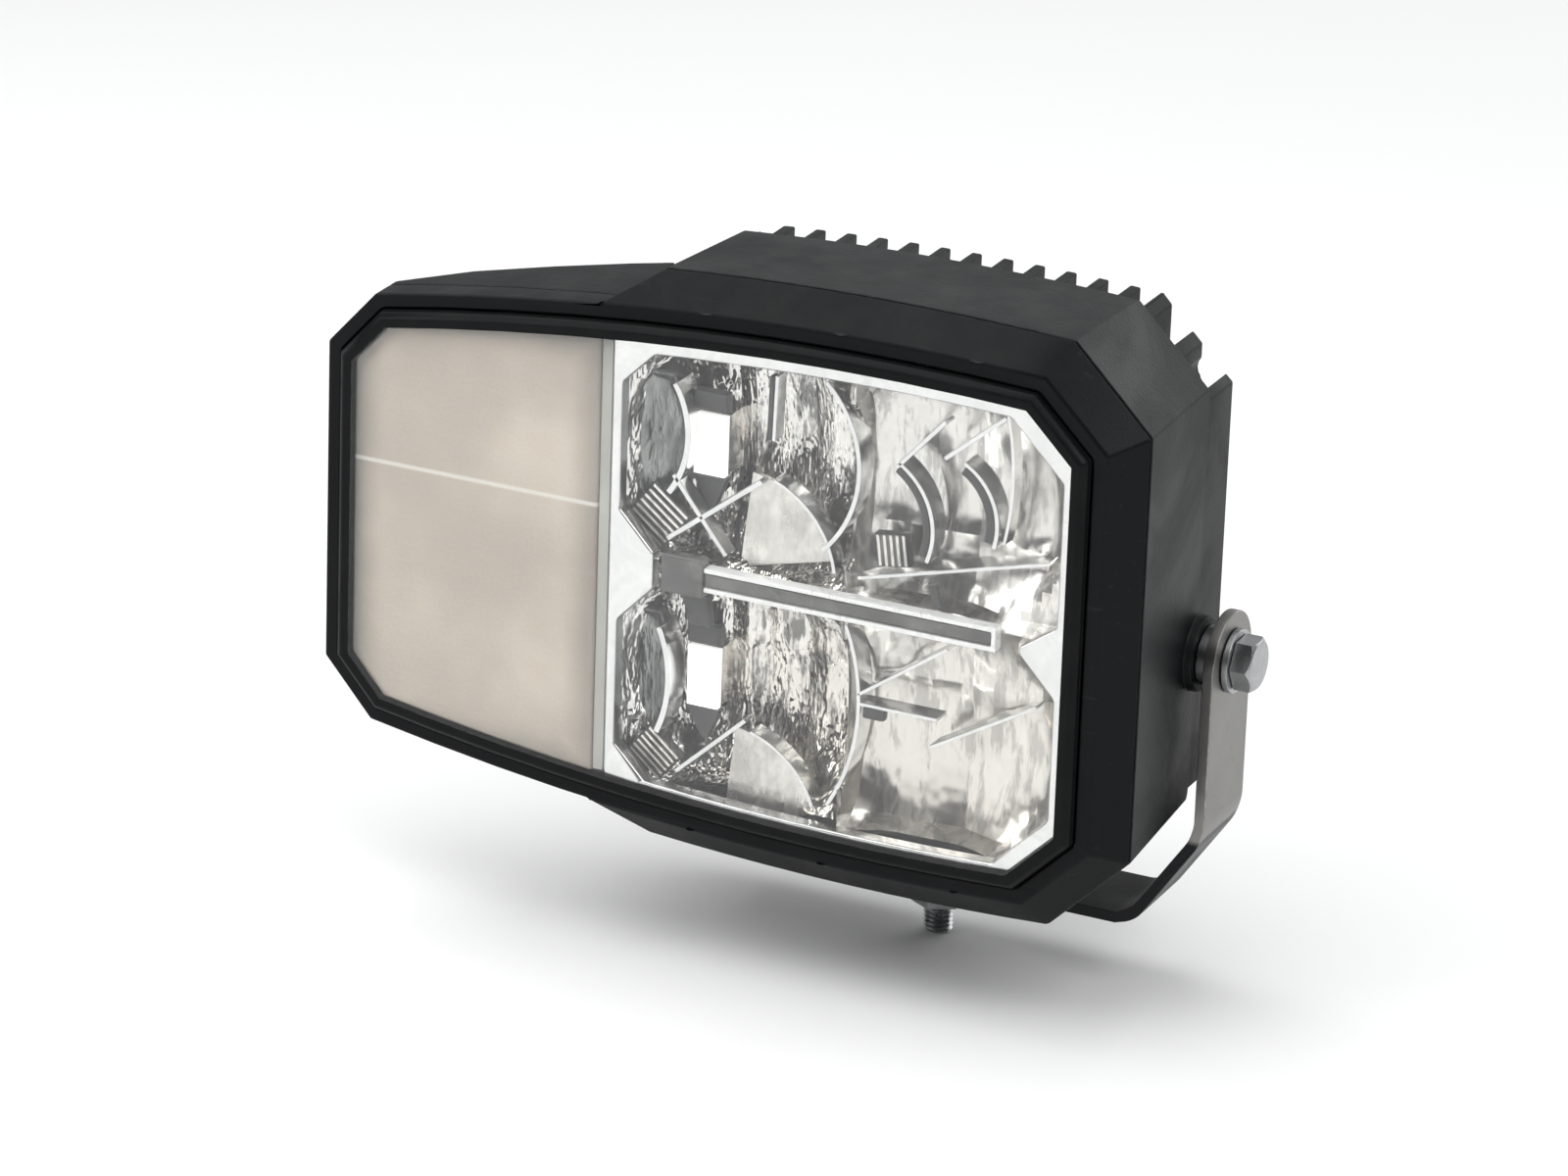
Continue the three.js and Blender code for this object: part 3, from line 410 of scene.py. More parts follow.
def make_handling_marks():
    """Broad smears with a few hair scratches in them."""
    tree, given, result = group("Handling Marks", {"Scale": 28.0, "Scratches": 1.0}, ["Smears", "Scratches"])
    place = own_coordinates(tree)
    smears = node(tree, "ShaderNodeTexNoise",
                  {"Vector": place, "Scale": given["Scale"], "Detail": 6.0, "Roughness": 0.6,
                   "Distortion": 0.8}).outputs["Fac"]
    lines = []
    for turn in (0.35, -0.9, 1.7):
        turned = node(tree, "ShaderNodeMapping",
                      {"Vector": place, "Rotation": (turn, turn * 1.7, turn * 0.6),
                       "Scale": (6.0, 260.0, 260.0)})
        streak = node(tree, "ShaderNodeTexNoise",
                      {"Vector": turned.outputs["Vector"], "Scale": 1.6, "Detail": 2.0}).outputs["Fac"]
        lines.append(ramp_between(tree, streak, 0.70, 0.76))
    worst = maths(tree, "MAXIMUM", maths(tree, "MAXIMUM", lines[0], lines[1]), lines[2])
    tree.links.new(ramp_between(tree, smears, 0.35, 0.7), result["Smears"])
    tree.links.new(maths(tree, "MULTIPLY", worst, given["Scratches"]), result["Scratches"])
    return tree


def make_settled_dust():
    """Dust on what faces up, thicker in patches."""
    tree, given, result = group("Settled Dust", {"Amount": 0.3, "Scale": 60.0}, ["Mask"])
    up = node(tree, "ShaderNodeSeparateXYZ",
              {0: node(tree, "ShaderNodeNewGeometry").outputs["Normal"]}).outputs["Z"]
    lying = ramp_between(tree, up, 0.35, 1.0)
    noise = node(tree, "ShaderNodeTexNoise",
                 {"Vector": own_coordinates(tree), "Scale": given["Scale"], "Detail": 8.0,
                  "Roughness": 0.7}).outputs["Fac"]
    specks = node(tree, "ShaderNodeTexNoise",
                  {"Vector": own_coordinates(tree), "Scale": 2600.0, "Detail": 1.0}).outputs["Fac"]
    patches = maths(tree, "ADD", ramp_between(tree, noise, 0.35, 0.75),
                    maths(tree, "MULTIPLY", ramp_between(tree, specks, 0.62, 0.75), 0.5))
    tree.links.new(maths(tree, "MULTIPLY", maths(tree, "MULTIPLY", lying, patches), given["Amount"], True),
                   result["Mask"])
    return tree


def make_light_cells():
    """Soft square cells behind a diffuser, a line for a fine rib across it, and a fade towards the edges of a
    box, as masks for a painted highlight and painted shade.
    """
    tree, given, result = group("Light Cells",
                                {"Pitch": 0.0085, "Rib Height": 0.105, "Fade": 0.007,
                                 "Low": (0.0, 0.0, 0.0), "High": (0.0, 0.0, 0.0)}, ["Cells", "Rib", "Border"])
    spot = node(tree, "ShaderNodeSeparateXYZ", {0: own_coordinates(tree)}).outputs
    sides = []
    for axis in ("X", "Z"):
        share = maths(tree, "DIVIDE", spot[axis], given["Pitch"])
        wave = maths(tree, "PINGPONG", share, 0.5)
        sides.append(ramp_between(tree, wave, 0.10, 0.34))
    tree.links.new(maths(tree, "MULTIPLY", sides[0], sides[1]), result["Cells"])
    away = maths(tree, "ABSOLUTE", maths(tree, "SUBTRACT", spot["Z"], given["Rib Height"]))
    tree.links.new(ramp_between(tree, away, 0.0009, 0.0002), result["Rib"])
    low = node(tree, "ShaderNodeSeparateXYZ", {0: given["Low"]}).outputs
    high = node(tree, "ShaderNodeSeparateXYZ", {0: given["High"]}).outputs
    nearest = None
    for axis in ("X", "Z"):
        for gap in (maths(tree, "SUBTRACT", spot[axis], low[axis]),
                    maths(tree, "SUBTRACT", high[axis], spot[axis])):
            nearest = gap if nearest is None else maths(tree, "MINIMUM", nearest, gap)
    share = maths(tree, "DIVIDE", nearest, given["Fade"])
    tree.links.new(ramp_between(tree, share, 1.0, 0.0), result["Border"])
    return tree


GROUP_MAKERS = {
    "Worn Edges": make_worn_edges,
    "Moulded Grain": make_moulded_grain,
    "Brushed Lines": make_brushed_lines,
    "Handling Marks": make_handling_marks,
    "Settled Dust": make_settled_dust,
    "Light Cells": make_light_cells,
}


def effect(tree, name, **inputs):
    """An effect's outputs in a material; the group is built the first time it is asked for."""
    shared = bpy.data.node_groups.get(name) or GROUP_MAKERS[name]()
    made = node(tree, "ShaderNodeGroup", node_tree=shared)
    for key, value in inputs.items():
        made.inputs[key.replace("_", " ")].default_value = value
    return made.outputs


def surface(name, roughness=0.5, metallic=0.0, specular=0.5, coat=0.0, coat_roughness=0.1):
    """A new material with a Principled shader, as its tree and its shader."""
    material = bpy.data.materials.new(name)
    material.use_nodes = True
    tree = material.node_tree
    shader = tree.nodes["Principled BSDF"]
    shader.inputs["Roughness"].default_value = roughness
    shader.inputs["Metallic"].default_value = metallic
    shader.inputs["Specular IOR Level"].default_value = specular
    shader.inputs["Coat Weight"].default_value = coat
    shader.inputs["Coat Roughness"].default_value = coat_roughness
    return material, tree, shader


def bumped(tree, shader, height, distance, strength=1.0):
    made = node(tree, "ShaderNodeBump", {"Height": height, "Distance": distance, "Strength": strength})
    tree.links.new(made.outputs["Normal"], shader.inputs["Normal"])


def feed(tree, shader, **values):
    for key, value in values.items():
        tree.links.new(value, shader.inputs[key.replace("_", " ")])


def lighter(colour, factor):
    return tuple(min(1.0, channel * factor) for channel in colour[:3])


# ---------------------------------------------------------------- materials
def satin_moulding(colours):
    material, tree, shader = surface("Satin Moulding", specular=0.12)
    grain = effect(tree, "Moulded Grain", Scale=2200.0, Clumps=70.0)
    edges = effect(tree, "Worn Edges", Width=0.0009, Amount=0.5, Patches=260.0)
    marks = effect(tree, "Handling Marks", Scale=24.0)
    dust = effect(tree, "Settled Dust", Amount=0.035)
    base = blend(tree, grain["Tone"], lighter(colours.shell, 0.8), lighter(colours.shell, 1.3))
    base = blend(tree, edges["Mask"], base, (0.035, 0.037, 0.039))
    base = blend(tree, maths(tree, "MULTIPLY", marks["Scratches"], 0.25), base, (0.03, 0.03, 0.031))
    base = blend(tree, dust["Mask"], base, (0.25, 0.24, 0.23))
    rough = ramp_between(tree, marks["Smears"], 0.0, 1.0, 0.36, 0.46)
    feed(tree, shader, Base_Color=base, Roughness=rough)
    bumped(tree, shader, grain["Height"], 0.00003, 0.6)
    return material


def powder_coat(colours):
    material, tree, shader = surface("Powder Coat", specular=0.17)
    grain = effect(tree, "Moulded Grain", Scale=1300.0, Clumps=45.0)
    edges = effect(tree, "Worn Edges", Width=0.0008, Amount=0.55, Patches=300.0)
    dust = effect(tree, "Settled Dust", Amount=0.05)
    marks = effect(tree, "Handling Marks", Scale=18.0)
    base = blend(tree, grain["Tone"], lighter(colours.casting, 0.85), lighter(colours.casting, 1.3))
    base = blend(tree, edges["Mask"], base, (0.05, 0.052, 0.054))
    base = blend(tree, dust["Mask"], base, (0.26, 0.25, 0.24))
    rough = ramp_between(tree, marks["Smears"], 0.0, 1.0, 0.42, 0.54)
    feed(tree, shader, Base_Color=base, Roughness=rough)
    bumped(tree, shader, grain["Height"], 0.00006, 0.8)
    return material


def dull_steel(colours):
    material, tree, shader = surface("Dull Steel", metallic=1.0, specular=0.15)
    lines = effect(tree, "Brushed Lines", Stretch=(1.0, 0.06, 1.0), Scale=1500.0)
    marks = effect(tree, "Handling Marks", Scale=34.0)
    edges = effect(tree, "Worn Edges", Width=0.0007, Amount=0.9, Patches=180.0)
    base = blend(tree, marks["Smears"], lighter(colours.steel, 0.82), lighter(colours.steel, 1.12))
    base = blend(tree, maths(tree, "MULTIPLY", lines["Tone"], 0.35), base, lighter(colours.steel, 0.7))
    base = blend(tree, edges["Mask"], base, (0.55, 0.54, 0.51))
    # Painted shade: below the bends, where the slants and base lie in shade, the strip is painted black and
    # not metallic.
    height = node(tree, "ShaderNodeSeparateXYZ", {0: own_coordinates(tree)}).outputs["Z"]
    uneven = maths(tree, "ADD", height, maths(tree, "MULTIPLY", marks["Smears"], 0.0015))
    above_painted_shade = ramp_between(tree, uneven, BRACKET_LOW.z + PAINTED_SHADE_FROM, BRACKET_LOW.z + PAINTED_SHADE_TO)
    base = blend(tree, above_painted_shade, (0.010, 0.011, 0.012), base)
    rough = ramp_between(tree, maths(tree, "ADD", marks["Smears"], marks["Scratches"]), 0.0, 1.6, 0.36, 0.52)
    feed(tree, shader, Base_Color=base, Roughness=rough, Metallic=above_painted_shade)
    bumped(tree, shader, maths(tree, "ADD", lines["Height"], marks["Scratches"]), 0.00003, 0.5)
    return material


def zinc_plate(colours):
    material, tree, shader = surface("Zinc Plate", metallic=1.0)
    lines = effect(tree, "Brushed Lines", Stretch=(1.0, 1.0, 1.0), Scale=420.0)
    marks = effect(tree, "Handling Marks", Scale=90.0)
    edges = effect(tree, "Worn Edges", Width=0.0005, Amount=0.8, Patches=400.0)
    base = blend(tree, lines["Tone"], lighter(colours.zinc, 0.72), lighter(colours.zinc, 1.1))
    base = blend(tree, edges["Mask"], base, (0.8, 0.8, 0.8))
    rough = ramp_between(tree, marks["Smears"], 0.0, 1.0, 0.24, 0.42)
    feed(tree, shader, Base_Color=base, Roughness=rough)
    bumped(tree, shader, lines["Height"], 0.00003, 0.4)
    return material


def metallised(name, colours, stretch, scale, height, roughness, reflection_streaks):
    """A metallised moulding whose skin ripples along one way, with beige patches and dark streaks painted in
    as reflections.
    """
    material, tree, shader = surface(name, metallic=1.0)
    marks = effect(tree, "Handling Marks", Scale=50.0)
    ripple = effect(tree, "Brushed Lines", Stretch=stretch, Scale=scale)
    streak = effect(tree, "Brushed Lines", Stretch=(1.0, 1.0, 0.22), Scale=210.0)
    base = blend(tree, marks["Smears"], lighter(colours.mirror, 0.92), lighter(colours.mirror, 1.1))
    # Painted reflection: beige patches that follow the ripple.
    base = blend(tree, ramp_between(tree, ripple["Tone"], 0.35, 0.7), base, (0.78, 0.72, 0.64))
    # Painted reflection: dark streaks standing in for the dark surroundings seen in the mirror.
    dark = maths(tree, "MULTIPLY", ramp_between(tree, streak["Height"], 0.52, 0.40), reflection_streaks)
    base = blend(tree, dark, base, (0.055, 0.055, 0.052))
    rough = ramp_between(tree, marks["Smears"], 0.0, 1.0, roughness, roughness + 0.06)
    feed(tree, shader, Base_Color=base, Roughness=rough)
    bumped(tree, shader, ripple["Height"], height, 0.9)
    return material


def mirror_coat(colours):
    return metallised("Mirror Coat", colours, (1.0, 1.0, 0.4), 75.0, 0.0045, 0.07, 0.8)


def polished_coat(colours):
    return metallised("Polished Coat", colours, (1.0, 1.0, 0.7), 22.0, 0.0022, 0.19, 0.35)


def satin_coat(colours):
    """Smooth metallising below the arcs, with a soft sheen."""
    material, tree, shader = surface("Satin Coat", metallic=0.85)
    drift = effect(tree, "Brushed Lines", Stretch=(1.0, 1.0, 0.5), Scale=60.0)
    marks = effect(tree, "Handling Marks", Scale=60.0)
    base = blend(tree, ramp_between(tree, drift["Height"], 0.35, 0.65),
                 (0.50, 0.48, 0.45), (0.82, 0.80, 0.76))
    rough = ramp_between(tree, marks["Smears"], 0.0, 1.0, 0.22, 0.34)
    feed(tree, shader, Base_Color=base, Roughness=rough)
    bumped(tree, shader, drift["Height"], 0.0012, 0.6)
    return material


def pocket_coat(colours):
    """Duller metallising in the pockets beside the light sources."""
    material, tree, shader = surface("Pocket Coat", metallic=0.9)
    ripple = effect(tree, "Brushed Lines", Stretch=(1.0, 1.0, 0.35), Scale=120.0)
    base = blend(tree, ramp_between(tree, ripple["Height"], 0.3, 0.7),
                 (0.10, 0.105, 0.105), (0.34, 0.345, 0.34))
    rough = ramp_between(tree, ripple["Tone"], 0.3, 0.7, 0.16, 0.28)
    feed(tree, shader, Base_Color=base, Roughness=rough)
    bumped(tree, shader, ripple["Height"], 0.0016, 0.7)
    return material


def bright_chrome(colours):
    material, tree, shader = surface("Bright Chrome", metallic=1.0)
    marks = effect(tree, "Handling Marks", Scale=70.0)
    base = blend(tree, marks["Smears"], (0.74, 0.745, 0.74), (0.86, 0.86, 0.855))
    rough = ramp_between(tree, marks["Smears"], 0.0, 1.0, 0.16, 0.26)
    feed(tree, shader, Base_Color=base, Roughness=rough)
    return material


def silver_moulding(colours):
    material, tree, shader = surface("Silver Moulding", metallic=0.25)
    grain = effect(tree, "Moulded Grain", Scale=2400.0, Clumps=160.0)
    marks = effect(tree, "Handling Marks", Scale=80.0)
    base = blend(tree, grain["Tone"], (0.86, 0.86, 0.855), (0.95, 0.95, 0.94))
    rough = ramp_between(tree, marks["Smears"], 0.0, 1.0, 0.26, 0.38)
    feed(tree, shader, Base_Color=base, Roughness=rough)
    bumped(tree, shader, grain["Height"], 0.00002, 0.5)
    return material


def smoked_moulding(colours):
    material, tree, shader = surface("Smoked Moulding", roughness=0.2, coat=0.6, coat_roughness=0.05)
    grain = effect(tree, "Moulded Grain", Scale=700.0, Clumps=60.0)
    marks = effect(tree, "Handling Marks", Scale=60.0)
    base = blend(tree, ramp_between(tree, grain["Tone"], 0.35, 0.65),
                 (0.050, 0.050, 0.048), (0.13, 0.128, 0.12))
    rough = ramp_between(tree, marks["Smears"], 0.0, 1.0, 0.16, 0.34)
    feed(tree, shader, Base_Color=base, Roughness=rough)
    bumped(tree, shader, grain["Height"], 0.00003, 0.4)
    return material


def clear_moulding(colours):
    """Clear hard-coated plastic that lets the lamps light what is behind it."""
    material, tree, shader = surface("Clear Moulding", specular=0.3)
    shader.inputs["Base Color"].default_value = (0.985, 0.99, 0.985, 1.0)
    shader.inputs["Transmission Weight"].default_value = 1.0
    shader.inputs["IOR"].default_value = 1.49
    marks = effect(tree, "Handling Marks", Scale=16.0)
    rough = ramp_between(tree, maths(tree, "ADD", marks["Smears"], marks["Scratches"]), 0.2, 2.0, 0.0, 0.05)
    feed(tree, shader, Roughness=rough)
    shadow = node(tree, "ShaderNodeLightPath").outputs["Is Shadow Ray"]
    clear = node(tree, "ShaderNodeBsdfTransparent", {"Color": (0.97, 0.975, 0.97, 1.0)})
    mixed = node(tree, "ShaderNodeMixShader",
                 {0: shadow, 1: shader.outputs["BSDF"], 2: clear.outputs["BSDF"]})
    tree.links.new(mixed.outputs["Shader"], tree.nodes["Material Output"].inputs["Surface"])
    return material


def frosted_panel(colours):
    material, tree, shader = surface("Frosted Panel", roughness=0.5, coat=0.35, coat_roughness=0.25)
    low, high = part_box("indicator_panel")
    cells = effect(tree, "Light Cells", Pitch=0.0125, Rib_Height=HEAD_Z + 14 * MM, Fade=0.010,
                   Low=tuple(low), High=tuple(high))
    drift = node(tree, "ShaderNodeTexNoise",
                 {"Vector": own_coordinates(tree), "Scale": 22.0, "Detail": 3.0}).outputs["Fac"]
    grain = effect(tree, "Moulded Grain", Scale=900.0, Clumps=60.0)
    base = blend(tree, ramp_between(tree, drift, 0.35, 0.68), lighter(colours.panel, 0.86),
                 lighter(colours.panel, 1.16))
    base = blend(tree, maths(tree, "MULTIPLY", cells["Cells"], 0.13), base, (0.50, 0.41, 0.31))
    # Painted shade: the panel darkens towards its edges, where it sits in shade inside its surround.
    base = blend(tree, maths(tree, "MULTIPLY", cells["Border"], 0.62), base, (0.17, 0.155, 0.135))
    # Painted highlight: a light line along the fine rib across the panel.
    base = blend(tree, maths(tree, "MULTIPLY", cells["Rib"], 0.8), base, (0.74, 0.72, 0.67))
    rough = ramp_between(tree, grain["Tone"], 0.3, 0.7, 0.42, 0.56)
    feed(tree, shader, Base_Color=base, Roughness=rough)
    bumped(tree, shader, maths(tree, "ADD", grain["Height"], maths(tree, "MULTIPLY", cells["Cells"], 0.5)),
           0.00012, 0.5)
    return material


def light_window(colours):
    """The phosphor face of a light source."""
    material, tree, shader = surface("Light Window", roughness=0.35)
    grain = effect(tree, "Moulded Grain", Scale=1500.0, Clumps=300.0)
    base = blend(tree, grain["Tone"], (0.90, 0.90, 0.88), (0.97, 0.97, 0.96))
    feed(tree, shader, Base_Color=base)
    feed(tree, shader, Emission_Color=base)
    shader.inputs["Emission Strength"].default_value = 0.75
    bumped(tree, shader, grain["Height"], 0.00003, 0.5)
    return material


def dark_trim(colours):
    material, tree, shader = surface("Dark Trim", roughness=0.35, specular=0.4)
    grain = effect(tree, "Moulded Grain", Scale=1800.0, Clumps=120.0)
    edges = effect(tree, "Worn Edges", Width=0.0005, Amount=0.4, Patches=400.0)
    base = blend(tree, grain["Tone"], (0.035, 0.036, 0.037), (0.075, 0.075, 0.074))
    base = blend(tree, edges["Mask"], base, (0.2, 0.2, 0.2))
    rough = ramp_between(tree, grain["Tone"], 0.3, 0.7, 0.28, 0.42)
    feed(tree, shader, Base_Color=base, Roughness=rough)
    bumped(tree, shader, grain["Height"], 0.00003, 0.5)
    return material


def lens_border(colours):
    material, tree, shader = surface("Lens Border", specular=0.08)
    grain = effect(tree, "Moulded Grain", Scale=1500.0, Clumps=90.0)
    marks = effect(tree, "Handling Marks", Scale=40.0)
    base = blend(tree, grain["Tone"], (0.004, 0.0045, 0.005), (0.010, 0.0105, 0.011))
    rough = ramp_between(tree, marks["Smears"], 0.0, 1.0, 0.3, 0.45)
    feed(tree, shader, Base_Color=base, Roughness=rough)
    bumped(tree, shader, grain["Height"], 0.00004, 0.5)
    return material


def black_rubber(colours):
    material, tree, shader = surface("Black Rubber", specular=0.25)
    grain = effect(tree, "Moulded Grain", Scale=1100.0, Clumps=80.0)
    dust = effect(tree, "Settled Dust", Amount=0.2)
    base = blend(tree, grain["Tone"], (0.014, 0.014, 0.014), (0.03, 0.03, 0.03))
    base = blend(tree, dust["Mask"], base, (0.2, 0.19, 0.18))
    rough = ramp_between(tree, grain["Tone"], 0.3, 0.7, 0.72, 0.88)
    feed(tree, shader, Base_Color=base, Roughness=rough)
    bumped(tree, shader, grain["Height"], 0.00008, 0.8)
    return material


def white_moulding(colours):
    material, tree, shader = surface("White Moulding")
    grain = effect(tree, "Moulded Grain", Scale=1300.0, Clumps=70.0)
    marks = effect(tree, "Handling Marks", Scale=50.0)
    base = blend(tree, grain["Tone"], (0.76, 0.76, 0.74), (0.88, 0.88, 0.86))
    rough = ramp_between(tree, marks["Smears"], 0.0, 1.0, 0.38, 0.52)
    feed(tree, shader, Base_Color=base, Roughness=rough)
    bumped(tree, shader, grain["Height"], 0.00004, 0.5)
    return material


def pale_moulding(colours):
    material, tree, shader = surface("Pale Moulding", specular=0.4)
    grain = effect(tree, "Moulded Grain", Scale=1300.0, Clumps=50.0)
    marks = effect(tree, "Handling Marks", Scale=50.0)
    base = blend(tree, grain["Tone"], (0.36, 0.355, 0.33), (0.52, 0.51, 0.475))
    rough = ramp_between(tree, marks["Smears"], 0.0, 1.0, 0.42, 0.55)
    feed(tree, shader, Base_Color=base, Roughness=rough)
    bumped(tree, shader, grain["Height"], 0.00004, 0.5)
    return material


def circuit_board(colours):
    """Lacquered board with copper runs under the lacquer."""
    material, tree, shader = surface("Circuit Board", coat=0.4, coat_roughness=0.15)
    upright = node(tree, "ShaderNodeMapping",
                   {"Vector": own_coordinates(tree), "Rotation": (math.pi / 2, 0.0, 0.0)})
    runs = node(tree, "ShaderNodeTexBrick",
                {"Vector": upright.outputs["Vector"],
                 "Scale": 60.0, "Mortar Size": 0.03, "Color1": (0.0, 0.0, 0.0, 1.0),
                 "Color2": (0.25, 0.25, 0.25, 1.0), "Mortar": (1.0, 1.0, 1.0, 1.0)}).outputs["Color"]
    grain = effect(tree, "Moulded Grain", Scale=1000.0, Clumps=100.0)
    base = blend(tree, grain["Tone"], (0.012, 0.07, 0.03), (0.02, 0.12, 0.05))
    base = blend(tree, maths(tree, "MULTIPLY", runs, 0.5), base, (0.06, 0.22, 0.08))
    rough = ramp_between(tree, grain["Tone"], 0.3, 0.7, 0.35, 0.5)
    feed(tree, shader, Base_Color=base, Roughness=rough)
    bumped(tree, shader, grain["Height"], 0.00003, 0.4)
    return material


def machined_aluminium(colours):
    material, tree, shader = surface("Machined Aluminium", metallic=1.0)
    lines = effect(tree, "Brushed Lines", Stretch=(0.04, 1.0, 1.0), Scale=1200.0)
    marks = effect(tree, "Handling Marks", Scale=40.0)
    base = blend(tree, lines["Tone"], (0.55, 0.56, 0.57), (0.74, 0.75, 0.76))
    rough = ramp_between(tree, marks["Smears"], 0.0, 1.0, 0.3, 0.45)
    feed(tree, shader, Base_Color=base, Roughness=rough)
    bumped(tree, shader, lines["Height"], 0.00003, 0.5)
    return material


def studio_paper(colours):
    material, tree, shader = surface("Studio Paper", specular=0.2)
    grain = effect(tree, "Moulded Grain", Scale=500.0, Clumps=3.0)
    base = blend(tree, grain["Tone"], lighter(colours.floor, 0.985), lighter(colours.floor, 1.01))
    rough = ramp_between(tree, grain["Tone"], 0.3, 0.7, 0.75, 0.85)
    feed(tree, shader, Base_Color=base, Roughness=rough)
    bumped(tree, shader, grain["Height"], 0.00005, 0.3)
    return material


def finish(maker):
    """A material by its maker, built once."""
    key = maker.__name__.replace("_", " ").title()
    return bpy.data.materials.get(key) or maker(bpy.context.scene.lamp_colours)


# ---------------------------------------------------------------- the shell
class LAMP_OT_shell(bpy.types.Operator):
    """Front bezel and finned case, with their edges rounded"""
    bl_idname = "lamp.shell"
    bl_label = "Make Shell"

    def execute(self, context):
        sizes = context.scene.lamp_sizes
        bezel = copy_of("bezel", "bezel_moulding")
        round_edges(bezel, sizes.shell_round, 3, clamp=False)
        hand_over(bezel, "lamp", "plastic_black", finish(satin_moulding), "bezel")
        case = copy_of("housing", "case_casting")
        round_edges(case, sizes.shell_round * 0.8, 2, clamp=False)
        hand_over(case, "lamp", "case_black", finish(powder_coat), "housing")
        return {"FINISHED"}


class LAMP_OT_lens(bpy.types.Operator):
    """Clear lens plate and the black border ring behind its edge"""
    bl_idname = "lamp.lens"
    bl_label = "Make Lens"

    def execute(self, context):
        face_back = LENS_LOW.y + 3.0 * MM
        plate = copy_of("lens", "lens_plate")
        self.keep(plate, face_back, front=True)
        start_edit(plate)
        choose("faces", lambda face: abs(face.normal.y) > 0.98)
        bpy.ops.mesh.inset(thickness=context.scene.lamp_sizes.lens_border, depth=0.0)
        end_edit()
        round_edges(plate, 0.6 * MM, 3, clamp=False)
        hand_over(plate, "lamp", "lens_clear", finish(clear_moulding), "lens")
        # Only the two broad faces stay clear: the border and the edge are printed black.
        plate.data.materials.append(finish(lens_border))
        broad = sorted(plate.data.polygons, key=lambda face: face.area)[-2:]
        for face in plate.data.polygons:
            face.material_index = 0 if face in broad else 1
        border = copy_of("lens", "lens_border_ring")
        self.keep(border, face_back + 0.15 * MM, front=False)
        round_edges(border, 0.3 * MM, 2)
        hand_over(border, "lamp", "plastic_black", finish(lens_border), "lens")
        return {"FINISHED"}

    @staticmethod
    def keep(piece, y, front):
        start_edit(piece)
        bpy.ops.mesh.select_all(action="SELECT")
        bpy.ops.mesh.bisect(plane_co=(0.0, y, 0.0), plane_no=(0.0, 1.0, 0.0), use_fill=True,
                            clear_outer=front, clear_inner=not front)
        end_edit()
        face_outwards(piece)


# ---------------------------------------------------------------- the optics
def band(name, start, end, width, front, depth, taper=0.0):
    """A straight raised bar between two places on the reflector, rounded along its edges."""
    a, b = head(*start), head(*end)
    along = b - a
    middle = (a + b) / 2
    turn = -math.atan2(along.z, along.x)
    piece = block(name, (middle.x, front + depth / 2, middle.z), (along.length, depth, width), turn)
    if taper:
        start_edit(piece)
        choose("faces", lambda face: face.normal.y < -0.9)
        bpy.ops.mesh.inset(thickness=width * taper, depth=width * taper)
        end_edit()
    return round_edges(piece, width * 0.22, 2)


def arc(name, centre, radius, start, end, width, front, depth, steps=20):
    """A raised bar bent round a centre: a small section turned about the depth axis."""
    middle = head(*centre)
    a = math.radians(start)
    place = (middle.x + radius * MM * math.cos(a), front + depth / 2, middle.z + radius * MM * math.sin(a))
    clear_selection()
    bpy.ops.mesh.primitive_plane_add(size=1.0, location=place, rotation=(0.0, -a, 0.0))
    piece = added(name)
    piece.scale = (width, depth, 1.0)
    settle(piece)
    start_edit(piece)
    bpy.ops.mesh.select_all(action="SELECT")
    bpy.ops.mesh.spin(steps=steps, angle=math.radians(end - start), center=(middle.x, 0.0, middle.z),
                      axis=(0.0, 1.0, 0.0))
    end_edit()
    face_outwards(piece)
    return round_edges(piece, width * 0.2, 2)


class LAMP_OT_bright_frame(bpy.types.Operator):
    """Bright frame round the window, with its two wedges"""
    bl_idname = "lamp.bright_frame"
    bl_label = "Make Bright Frame"

    def execute(self, context):
        piece = copy_of("trim_frame", "bright_frame")
        round_edges(piece, 0.7 * MM, 3, clamp=False)
        hand_over(piece, "lamp", "bright_frame", finish(bright_chrome), "trim_frame")
        return {"FINISHED"}


